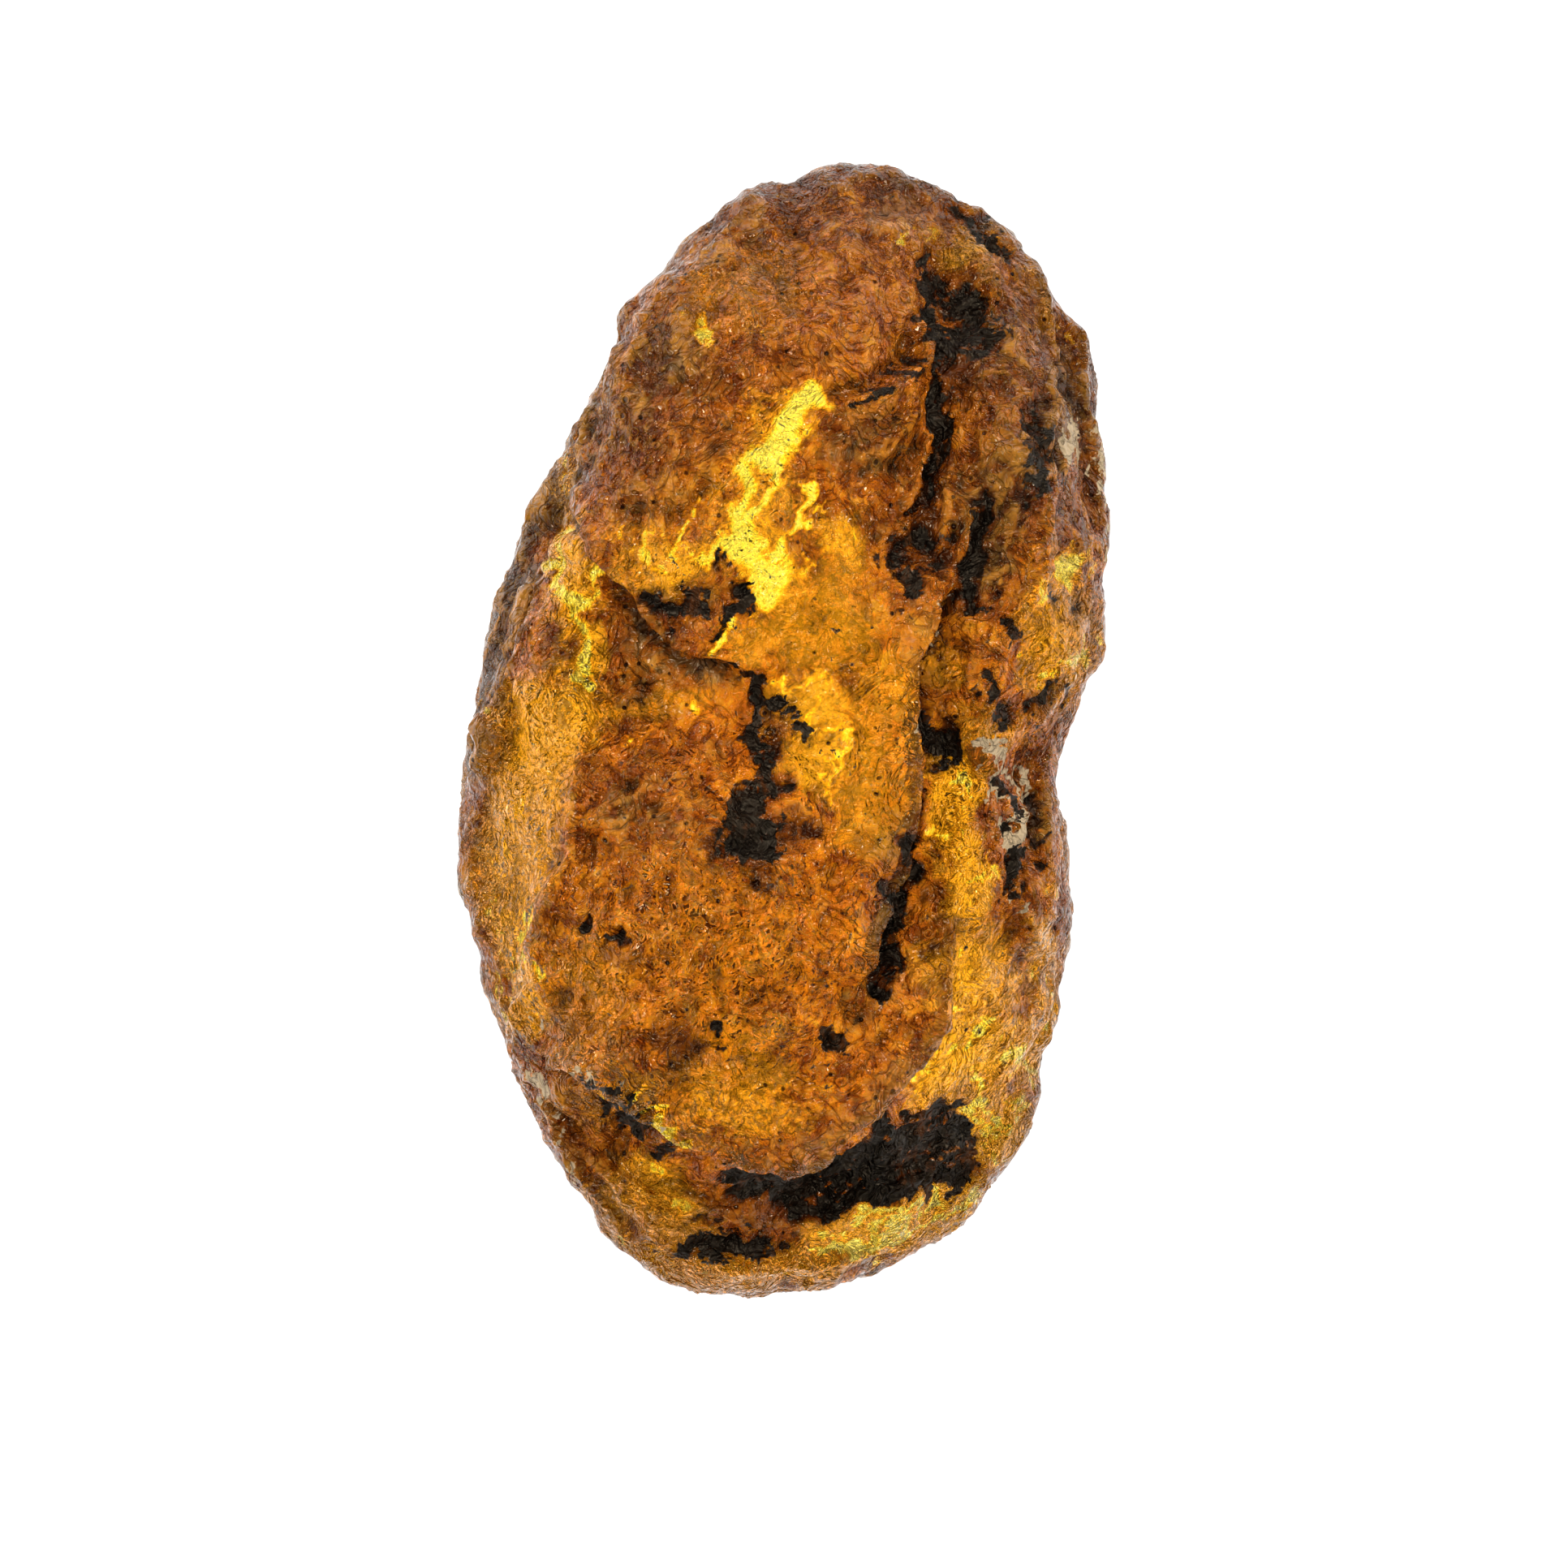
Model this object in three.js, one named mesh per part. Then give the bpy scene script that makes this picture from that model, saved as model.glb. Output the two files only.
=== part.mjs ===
// A rough nodule of raw amber, 60 mm long, lying on its back with its best side up.
// Millimetres: +X runs across the nodule, +Y towards its rounded head, +Z up.
// It formed as one piece, so it is one closed body: a full, flattened egg whose rim follows the
// nodule's outline, with swells, folds, furrows and hollows laid over the front and the back.
import * as THREE from 'three';
import { ImprovedNoise } from 'three/addons/math/ImprovedNoise.js';
import { mergeVertices } from 'three/addons/utils/BufferGeometryUtils.js';

// Driving sizes
const HALF_WIDTH = 17.1;
const HALF_LENGTH = 30;
const FRONT = { height: 9.4, fullness: 2.5 }; // fullness is the power of the section: 2 is an ellipse
const BACK = { height: 11.2, fullness: 2.35 };
const WORN_DEPTH = 0.9; // how much of the back's lowest swell is worn off to a flat
const FACET_STEPS = 19; // 20 x (19 + 1) squared = 8000 facets

// The rim isn't level, and the flanks are steeper in some places than in others.
const RIM_SWAYS = [
  { waves: 2, height: 1.5, start: 0.7 },
  { waves: 3, height: 1.1, start: 2.1 },
  { waves: 5, height: 0.6, start: 4.4 },
];
const STEEPNESS = { waves: 3, amount: 0.3, start: 1.2 };
const ROCKER = 2.2; // how far both ends bend up from the middle
const HEAD_THINNING = 0.1; // share of its thickness that the nodule loses towards the head

// Old edges are rounded by wear: each point moves this share towards its neighbours, so many times.
const WEAR = { passes: 3, share: 0.35 };

// Low lumps all over, coarse and fine: how far apart, and how high.
const LUMPS = [
  { spacing: 8.5, height: 0.55 },
  { spacing: 3.6, height: 0.26 },
];
const RIM_LUMP_SHARE = 0.3; // lumps are weaker at the rim, so that the outline stays true

// Long wrinkles in the flanks, drawn out along the nodule.
const FLANK_FOLD = { across: 5, along: 19, depth: 2.1 };

const AMBER = { color: '#b8741c', roughness: 0.28, metalness: 0 };

// Outline seen from above, anticlockwise from the top of the head.
const OUTLINE = [
  [3.4, 30], [7.2, 29.2], [12.0, 26.9], [13.8, 23.0], [15.8, 21.6], [17.0, 17.3],
  [17.1, 12.4], [17.4, 10], [17.0, 7.6], [17.2, 4.3], [16.0, 1.3], [13.9, -2.5],
  [15.2, -6.1], [15.5, -10.1], [14.9, -13.7], [14.0, -19.3], [12.9, -22.3], [11.2, -25.1],
  [6.1, -28.5], [0, -29.8], [-3.2, -30], [-6.2, -28.9], [-8.7, -26.8], [-12.4, -21.4],
  [-14.6, -16.2], [-16.1, -11.7], [-17.3, -5.6], [-16.6, 0], [-15.3, 6.9], [-13.1, 12],
  [-12.3, 13.9], [-8.8, 19.7], [-7.3, 22.4], [-2.9, 27.7], [0.6, 29.1],
].reverse();

const NOISE = new ImprovedNoise();
const smoothstep = THREE.MathUtils.smoothstep;

function sum(items, measure) {
  return items.reduce((total, item) => total + measure(item), 0);
}

// A smooth line over the surface, seen from above, that forms are measured from.
class Course {
  constructor(points) {
    const corners = points.map(([x, y]) => new THREE.Vector3(x, y, 0));
    const stepsPerPoint = 8;
    this.stations = new THREE.CatmullRomCurve3(corners).getPoints(stepsPerPoint * corners.length);
    this.reach = [0];
    for (let i = 1; i < this.stations.length; i += 1) {
      const step = this.stations[i].distanceTo(this.stations[i - 1]);
      this.reach.push(this.reach[i - 1] + step);
    }
    this.length = this.reach[this.reach.length - 1];
  }

  // The distance to the line, positive on its left, and how far along the line that is.
  measure(x, y) {
    let nearest = Infinity;
    let side = 0;
    let along = 0;
    for (let i = 1; i < this.stations.length; i += 1) {
      const from = this.stations[i - 1];
      const stepX = this.stations[i].x - from.x;
      const stepY = this.stations[i].y - from.y;
      const offsetX = x - from.x;
      const offsetY = y - from.y;
      const squared = stepX * stepX + stepY * stepY;
      const share = THREE.MathUtils.clamp((offsetX * stepX + offsetY * stepY) / squared, 0, 1);
      const distance = Math.hypot(offsetX - share * stepX, offsetY - share * stepY);
      if (distance < nearest) {
        nearest = distance;
        side = Math.sign(stepX * offsetY - stepY * offsetX) * distance;
        along = this.reach[i - 1] + share * Math.sqrt(squared);
      }
    }
    return { side, along };
  }

  // 1 along the line, easing to 0 at both of its ends.
  fade(along, run) {
    return smoothstep(along, 0, run) * smoothstep(this.length - along, 0, run);
  }
}

// A rounded swell. A negative rise makes it a hollow.
function swell({ at, half, turn = 0, rise, shoulder = 2 }) {
  const angle = THREE.MathUtils.degToRad(turn);
  return (x, y) => {
    const offset = new THREE.Vector2(x - at[0], y - at[1]).rotateAround(new THREE.Vector2(), -angle);
    const spread = Math.hypot(offset.x / half[0], offset.y / half[1]);
    return spread < 1 ? rise * (1 - spread ** shoulder) ** 2 : 0;
  };
}

// A fold of once soft resin: proud on the left of its lip, easing back from it, and undercut on the right.
function fold({ lip, rise, ease, under = 0, edge = 1, fade = 3 }) {
  const course = new Course(lip);
  return (x, y) => {
    const { side, along } = course.measure(x, y);
    const proud = smoothstep(side, -edge, edge) * Math.exp(-Math.max(side, 0) / ease);
    const groove = Math.exp(-(((side + 1.3 * edge) / edge) ** 2));
    return course.fade(along, fade) * (rise * proud - under * groove);
  };
}

// A furrow with a round bottom. A negative depth makes it a crest.
function furrow({ line, width, depth, fade = 2.5 }) {
  const course = new Course(line);
  return (x, y) => {
    const { side, along } = course.measure(x, y);
    return -depth * course.fade(along, fade) * Math.exp(-((side / width) ** 2));
  };
}

const FRONT_FORMS = [
  // the head, the belly and the lobes beside them
  swell({ at: [-0.5, 17.5], half: [11.5, 16], turn: -8, rise: 2.3, shoulder: 3 }),
  swell({ at: [-4, -9.5], half: [12, 15], turn: 6, rise: 3.1, shoulder: 2.6 }),
  swell({ at: [12.3, 11.5], half: [5.4, 15], turn: 4, rise: 2.2 }),
  swell({ at: [9.6, -12], half: [5.2, 11], turn: 6, rise: 1.7 }),
  swell({ at: [-15, 3], half: [4, 8], turn: -14, rise: 1.2 }),
  swell({ at: [14.2, -8], half: [2.4, 5.5], rise: 1 }),
  // lips of the head, the belly and the plateau between them
  fold({
    lip: [[-6.9, 24.9], [-8.4, 20.1], [-9.9, 15.4], [-10.4, 11.1], [-8.8, 8.4], [-5, 4.3], [-2, 3.4], [-1.2, 1.5]],
    rise: 2, ease: 5, under: 0.7,
  }),
  fold({
    lip: [[-11.4, -15.5], [-9.5, -17.6], [-4.5, -22.2], [0, -22.7], [4, -20.8], [7.2, -16.6], [8.8, -11.6]],
    rise: 2.4, ease: 5, under: 0.9,
  }),
  fold({
    lip: [[4.2, -14.1], [5.3, -8.6], [6.8, -1.3], [7.1, 3], [8, 6.6], [9.2, 9.4]],
    rise: 2, ease: 3.2, under: 0.8,
  }),
  // edges where the front turns over to the flanks
  fold({ lip: [[-11.2, 11.5], [-11.8, 6], [-13.3, 3.4], [-15.4, 0]], rise: 1.8, ease: 4, under: 0.6 }),
  furrow({ line: [[-10.4, 1.7], [-10.7, -2.6], [-11.2, -6.9], [-13.3, -13.1], [-13.2, -17]], width: 1.1, depth: -0.9 }),
  furrow({ line: [[-13.3, -15], [-11.8, -20.8], [-9.3, -25.5]], width: 0.9, depth: -0.7 }),
  furrow({ line: [[12.2, 25.6], [14.2, 21.4], [15.6, 17], [16.1, 10.7]], width: 0.8, depth: -0.6 }),
  fold({
    lip: [[12.9, -9.6], [12, -4], [11.4, 1.7], [12.7, 6], [14, 11.1], [13.5, 17], [11.3, 24.4]],
    rise: 1.2, ease: 2.2, under: 0.4,
  }),
  furrow({ line: [[10.2, 13.4], [9.7, 10.3], [8.9, 6.6]], width: 0.7, depth: -0.7, fade: 1.5 }),
  // furrows between the lobes
  furrow({ line: [[6.8, 26], [7.8, 22.7], [7.9, 17.1], [7.6, 13.6], [6.4, 9.5], [7.3, 7]], width: 1.3, depth: 2.2 }),
  furrow({ line: [[-2.2, 3.4], [-0.9, 1.4], [-1.4, -2.4], [-2.4, -5], [-1.4, -6.6]], width: 1.3, depth: 1.6 }),
  furrow({ line: [[6.6, -5], [6, -8.5], [4.9, -12.4], [4.6, -14]], width: 0.9, depth: 1.3 }),
  furrow({ line: [[10.5, 0.6], [11.1, -2.6], [12.2, -8.4]], width: 0.8, depth: 0.9 }),
  furrow({ line: [[-11.8, -19.4], [-8.8, -22.9], [-1.5, -25.4], [3, -25.2], [9.6, -20.6]], width: 1.1, depth: 0.8 }),
  furrow({ line: [[10, -7], [8.8, -12], [6.6, -17]], width: 0.9, depth: 0.5 }),
  // hollows
  swell({ at: [-6.3, 1.9], half: [5.4, 3.4], turn: -18, rise: -1.9 }),
  swell({ at: [9.9, 21.4], half: [3.4, 3.2], rise: -1.4 }),
  swell({ at: [10.7, 10], half: [1.6, 4], turn: 4, rise: -1.3 }),
  swell({ at: [8.6, -0.4], half: [2, 3], rise: -1.2 }),
  swell({ at: [-7.8, -22.4], half: [4.6, 2.2], turn: -35, rise: -0.9 }),
];

const BACK_FORMS = [
  swell({ at: [2.5, 17], half: [11, 12], turn: 10, rise: 0.9 }),
  swell({ at: [-1.5, -3], half: [13, 17], turn: -8, rise: 2.2 }),
  fold({ lip: [[14, 1.6], [7, 6.2], [-1, 10.4], [-9, 9], [-15, 11]], rise: 1.2, ease: 6, under: 0.7, edge: 1.2 }),
  fold({ lip: [[-12.5, -18], [-6, -22.5], [2, -21.4], [8, -18], [12.6, -19]], rise: 1.3, ease: 4, under: 0.6 }),
  fold({ lip: [[9, 10], [9.6, 15], [7.6, 20], [3, 26]], rise: 1.2, ease: 3.5, under: 0.5 }),
  furrow({ line: [[-10.6, -3], [-8.8, -9], [-10.4, -15]], width: 1.1, depth: 1.1 }),
  furrow({ line: [[-8, 20], [-5.6, 15], [-7.4, 9.5]], width: 1, depth: 0.9 }),
  furrow({ line: [[9.4, -4], [7.4, -9.6], [9, -15]], width: 1.1, depth: 1.2 }),
  swell({ at: [-11.4, 13], half: [3.6, 5], turn: -20, rise: -1.2 }),
  swell({ at: [11.5, -12], half: [3, 4.6], turn: 12, rise: -1.1 }),
];

// The distance from the middle to the outline, by direction.
function outlineRadii() {
  const corners = OUTLINE.map(([x, y]) => new THREE.Vector3(x, y, 0));
  const stations = new THREE.CatmullRomCurve3(corners, true).getPoints(36 * corners.length);
  const polar = stations.map((point) => ({ angle: Math.atan2(point.y, point.x), radius: point.length() }));
  return polar.sort((one, other) => one.angle - other.angle);
}

const RADII = outlineRadii();

function outlineRadius(angle) {
  let low = 0;
  let high = RADII.length - 1;
  while (high - low > 1) {
    const middle = Math.floor((low + high) / 2);
    if (RADII[middle].angle > angle) high = middle;
    else low = middle;
  }
  const span = RADII[high].angle - RADII[low].angle;
  const share = span > 0 ? THREE.MathUtils.clamp((angle - RADII[low].angle) / span, 0, 1) : 0;
  return THREE.MathUtils.lerp(RADII[low].radius, RADII[high].radius, share);
}

// The egg before any form is laid over it: a point of the unit sphere becomes a point of the egg.
function eggPoint(unit) {
  const egg = new THREE.Vector3(HALF_WIDTH * unit.x, HALF_LENGTH * unit.y, 0);
  const angle = Math.atan2(egg.y, egg.x);
  const { height, fullness } = unit.z > 0 ? FRONT : BACK;
  const power = 2 / (fullness + STEEPNESS.amount * Math.sin(STEEPNESS.waves * angle + STEEPNESS.start));
  const spread = Math.hypot(unit.x, unit.y) ** power;
  egg.setLength(spread * outlineRadius(angle));
  const length = egg.y / HALF_LENGTH;
  const thickness = height * (1 - HEAD_THINNING * length);
  egg.z = Math.sign(unit.z) * thickness * Math.abs(unit.z) ** power;
  egg.z += spread ** 2 * sum(RIM_SWAYS, (sway) => sway.height * Math.sin(sway.waves * angle + sway.start));
  egg.z += ROCKER * length ** 2;
  return egg;
}

function lumps(point) {
  return sum(LUMPS, ({ spacing, height }) => {
    const { x, y, z } = point.clone().divideScalar(spacing);
    return height * NOISE.noise(x, y, z);
  });
}

// 0 on the crest of a flank's wrinkles and down to minus their depth between them.
function flankFolds(point) {
  const { across, along, depth } = FLANK_FOLD;
  const bend = NOISE.noise(point.x / along, point.y / along, point.z / along);
  const value = NOISE.noise(point.x / across + bend, point.y / along, point.z / across - bend);
  return -depth * (1 - Math.abs(2 * value)) ** 3;
}

function shapedPoint(unit) {
  const point = eggPoint(unit);
  const outward = new THREE.Vector3(unit.x / HALF_WIDTH, unit.y / HALF_LENGTH, unit.z / FRONT.height).normalize();
  const fromRim = Math.abs(unit.z);
  const lift = lumps(point) * THREE.MathUtils.lerp(RIM_LUMP_SHARE, 1, smoothstep(fromRim, 0.1, 0.6));
  const flank = flankFolds(point) * smoothstep(fromRim, 0.06, 0.35) * (1 - smoothstep(fromRim, 0.45, 0.8));
  const forms = unit.z > 0 ? FRONT_FORMS : BACK_FORMS;
  const relief = Math.sign(unit.z) * sum(forms, (form) => form(point.x, point.y));
  point.addScaledVector(outward, lift + flank);
  point.z += relief * smoothstep(fromRim, 0, 0.3);
  return point;
}

// Each point's neighbours along the facets' edges.
function neighbours(body) {
  const corners = body.index.array;
  const found = Array.from({ length: body.getAttribute('position').count }, () => new Set());
  for (let i = 0; i < corners.length; i += 3) {
    for (let j = 0; j < 3; j += 1) {
      found[corners[i + j]].add(corners[i + ((j + 1) % 3)]);
      found[corners[i + j]].add(corners[i + ((j + 2) % 3)]);
    }
  }
  return found.map((set) => [...set]);
}

function worn(points, near) {
  return points.map((point, i) => {
    const average = new THREE.Vector3();
    near[i].forEach((j) => average.addScaledVector(points[j], 1 / near[i].length));
    return point.clone().lerp(average, WEAR.share);
  });
}

function nodule() {
  const sphere = new THREE.IcosahedronGeometry(1, FACET_STEPS);
  sphere.deleteAttribute('normal');
  sphere.deleteAttribute('uv');
  const body = mergeVertices(sphere);
  const places = body.getAttribute('position');
  const near = neighbours(body);
  let points = near.map((_, i) => shapedPoint(new THREE.Vector3().fromBufferAttribute(places, i).normalize()));
  for (let pass = 0; pass < WEAR.passes; pass += 1) {
    points = worn(points, near);
  }
  const flatLevel = WORN_DEPTH + points.reduce((lowest, point) => Math.min(lowest, point.z), 0);
  points.forEach((point, i) => places.setXYZ(i, point.x, point.y, Math.max(point.z, flatLevel)));
  body.computeBoundingBox();
  const middle = body.boundingBox.getCenter(new THREE.Vector3());
  body.translate(-middle.x, -middle.y, -body.boundingBox.min.z);
  body.computeVertexNormals();
  return body;
}

const amber = new THREE.Mesh(nodule(), new THREE.MeshStandardMaterial(AMBER));
amber.name = 'amber';

const piece = new THREE.Group();
piece.add(amber);

export default piece;
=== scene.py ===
"""The looks of a rough nodule of raw amber, lying on its back on a pale floor under soft studio light.

Places and sizes on the nodule are in millimetres from its middle: +x across it, +y towards its rounded head,
+z up from the worn flat that it lies on. Blender's own objects are in metres.
"""

import logging
import math
from dataclasses import dataclass, field
from enum import Enum
from typing import Any

import bpy
import numpy as np
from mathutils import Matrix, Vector


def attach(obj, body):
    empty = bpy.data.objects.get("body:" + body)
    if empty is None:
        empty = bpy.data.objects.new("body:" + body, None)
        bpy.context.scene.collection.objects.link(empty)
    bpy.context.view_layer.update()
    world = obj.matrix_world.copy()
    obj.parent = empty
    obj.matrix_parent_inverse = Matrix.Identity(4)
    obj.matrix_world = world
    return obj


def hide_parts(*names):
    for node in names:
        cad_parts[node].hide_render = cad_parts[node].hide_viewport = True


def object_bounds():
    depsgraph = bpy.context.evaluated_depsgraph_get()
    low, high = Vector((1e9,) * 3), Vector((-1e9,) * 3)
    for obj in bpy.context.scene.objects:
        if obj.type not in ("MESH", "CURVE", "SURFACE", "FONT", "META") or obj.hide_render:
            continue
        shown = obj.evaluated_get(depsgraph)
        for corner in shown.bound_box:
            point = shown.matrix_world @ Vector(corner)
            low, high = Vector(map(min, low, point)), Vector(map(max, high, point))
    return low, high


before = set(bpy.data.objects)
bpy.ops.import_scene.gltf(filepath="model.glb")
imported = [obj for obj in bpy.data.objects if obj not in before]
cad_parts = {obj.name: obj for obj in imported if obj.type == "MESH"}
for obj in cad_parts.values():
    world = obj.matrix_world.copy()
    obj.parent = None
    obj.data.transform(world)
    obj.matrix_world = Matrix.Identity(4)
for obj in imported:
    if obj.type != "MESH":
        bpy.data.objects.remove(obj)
cad_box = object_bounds()

MM = 0.001
NODE = "amber"
PIECE = "amber_nodule"

log = logging.getLogger(PIECE)
Points = np.ndarray
Amounts = np.ndarray
Colour = tuple[float, float, float]


class Mark(Enum):
    """What colours a place on the nodule, named as its attribute on the mesh."""

    CRUST = "crust"
    STAIN = "stain"
    WINDOW = "window"
    EMBER = "ember"
    HONEY = "honey"
    SMOKE = "smoke"
    # painted sheen, a paler pinkish reflection of the light
    BLOOM = "painted_sheen"
    # pale crackle, and painted glints along the lips
    FROST_AND_GLINTS = "frost_and_glints"
    # painted shade, darker where the surface sinks below its smoothed neighbours
    HOLLOW_SHADE = "hollow_shade"
    # painted highlight, lighter where the surface stands above its smoothed neighbours
    RIDGE_HIGHLIGHT = "ridge_highlight"
    VEIL = "veil"


# A mark fades out between these shares of its half size.
SOFT_EDGE = (0.2, 1.8)

# Marks and lines on the front are placed as they are seen from a point straight above, at the rim's level.
VIEW_AXIS = (0.0, -2.83)
VIEW_REACH = 230.0
RIM_LEVEL = 13.3


def seen(places: Points) -> Points:
    """Give the places' x, y at the rim's level, as they are seen from straight above.

    Args:
        places: Rows of x, y, z in millimetres.

    Returns:
        Rows of x, y in millimetres.
    """
    return VIEW_AXIS + (places[:, :2] - VIEW_AXIS) * VIEW_REACH / (VIEW_REACH + RIM_LEVEL - places[:, 2:])


def ease(amount: Amounts, low: float, high: float) -> Amounts:
    """Rise smoothly from 0 at low to 1 at high."""
    share = np.clip((amount - low) / (high - low), 0.0, 1.0)
    return share * share * (3.0 - 2.0 * share)


@dataclass
class Grain:
    """Smooth random values in space, the same on every run.

    Each corner of a grid holds a random direction, and a point blends the slopes of the eight around it.
    """

    seed: int
    directions: Points = field(init=False)
    order: np.ndarray = field(init=False)
    table: int = 512

    def __post_init__(self) -> None:
        """Draw the directions and the order they are looked up in."""
        draw = np.random.default_rng(self.seed)
        directions = draw.normal(size=(self.table, 3))
        self.directions = directions / np.linalg.norm(directions, axis=1, keepdims=True)
        self.order = draw.permutation(self.table)

    def at(self, places: Points, spacing: float) -> Amounts:
        """Read the values at some places.

        Args:
            places: Rows of x, y, z in millimetres.
            spacing: The grid's pitch in millimetres.

        Returns:
            One value for each place, mostly from -1 to 1.
        """
        scaled = places / spacing
        cell = np.floor(scaled).astype(int)
        inside = scaled - cell
        weight = inside**3 * (inside * (inside * 6.0 - 15.0) + 10.0)
        total = np.zeros(len(places))
        for corner in np.ndindex(2, 2, 2):
            key = np.zeros(len(places), int)
            for axis in range(3):
                key = self.order[(key + cell[:, axis] + corner[axis]) % self.table]
            slope = np.einsum("ij,ij->i", self.directions[key], inside - corner)
            share = np.prod(np.where(corner, weight, 1.0 - weight), axis=1)
            total += slope * share
        return total * 1.6

    def layered(self, places: Points, spacing: float, layers: int = 4) -> Amounts:
        """Add up layers of values, each half as wide and half as strong as the last.

        Args:
            places: Rows of x, y, z in millimetres.
            spacing: The widest layer's pitch in millimetres.
            layers: How many layers there are.

        Returns:
            One value for each place, mostly from -1 to 1.
        """
        total = np.zeros(len(places))
        for layer in range(layers):
            total += self.at(places + 17.3 * layer, spacing / 2**layer) / 2**layer
        return total

    def veins(self, places: Points, spacing: float, layers: int = 3) -> Amounts:
        """Make thin curling crests.

        Args:
            places: Rows of x, y, z in millimetres.
            spacing: The widest layer's pitch in millimetres.
            layers: How many layers there are.

        Returns:
            One value for each place, 1 on a crest and towards 0 between crests.
        """
        total = np.zeros(len(places))
        for layer in range(layers):
            crest = 1.0 - np.abs(self.at(places + 9.1 * layer, spacing / 1.9**layer))
            total += crest**3 / 2**layer
        return total / (2.0 - 2.0 ** (1 - layers))


def smooth_line(points: tuple, steps: int = 6) -> Points:
    """Round a line of points off with a Catmull-Rom curve.

    Args:
        points: The (x, y) points that the line goes through.
        steps: How many stretches each span is divided into.

    Returns:
        Rows of x, y along the rounded line.
    """
    corners = np.array(points, float)
    padded = np.vstack([2 * corners[0] - corners[1], corners, 2 * corners[-1] - corners[-2]])
    share = (np.arange(steps) / steps)[:, None]
    spans = []
    for before, start, end, after in zip(padded, padded[1:], padded[2:], padded[3:]):
        bend = 2 * before - 5 * start + 4 * end - after
        twist = 3 * start - before - 3 * end + after
        spans.append(0.5 * (2 * start + (end - before) * share + bend * share**2 + twist * share**3))
    return np.vstack([*spans, corners[-1:]])


@dataclass(frozen=True)
class Course:
    """A smooth line over the front, seen from above."""

    points: tuple

    def measure(self, places: Points, reach: float) -> tuple[np.ndarray, Amounts, Amounts]:
        """Measure the places near the line.

        Args:
            places: Rows of x, y in millimetres.
            reach: How far from the line a place still counts.

        Returns:
            The places' indices, their distance to the line, which is positive on its left, and how far they
            are from its nearer end, along the line.
        """
        line = smooth_line(self.points)
        low, high = line.min(axis=0) - reach, line.max(axis=0) + reach
        near = np.nonzero(np.all((places > low) & (places < high), axis=1))[0]
        starts, steps = line[:-1], np.diff(line, axis=0)
        lengths = np.linalg.norm(steps, axis=1)
        run = np.concatenate([[0.0], np.cumsum(lengths)])
        offset = places[near][:, None, :] - starts[None]
        share = np.clip((offset * steps).sum(axis=2) / lengths**2, 0.0, 1.0)
        gap = offset - share[..., None] * steps
        distance = np.linalg.norm(gap, axis=2)
        best = distance.argmin(axis=1)
        rows = np.arange(len(near))
        turn = steps[best, 0] * offset[rows, best, 1] - steps[best, 1] * offset[rows, best, 0]
        along = run[best] + share[rows, best] * lengths[best]
        return near, np.sign(turn) * distance[rows, best], np.minimum(along, run[-1] - along)


@dataclass(frozen=True)
class Stroke:
    """A soft-edged line of colour on the front: its half width, strength and points."""

    half_width: float
    strength: float
    points: tuple

    def cover(self, places: Points) -> Amounts:
        """Say how strongly the stroke covers some places.

        Args:
            places: Rows of x, y in millimetres.

        Returns:
            One amount for each place.
        """
        cover = np.zeros(len(places))
        near, side, _ = Course(self.points).measure(places, 2 * self.half_width)
        cover[near] = self.strength * (1.0 - ease(np.abs(side) / self.half_width, *SOFT_EDGE))
        return cover


@dataclass(frozen=True)
class Patch:
    """A soft-edged oval of colour on the front: its middle, its half sizes and its strength."""

    middle: tuple[float, float]
    half: tuple[float, float]
    strength: float

    def cover(self, places: Points) -> Amounts:
        """Say how strongly the patch covers each of the places."""
        spread = np.linalg.norm((places - self.middle) / np.array(self.half), axis=1)
        return self.strength * (1.0 - ease(spread, *SOFT_EDGE))


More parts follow.
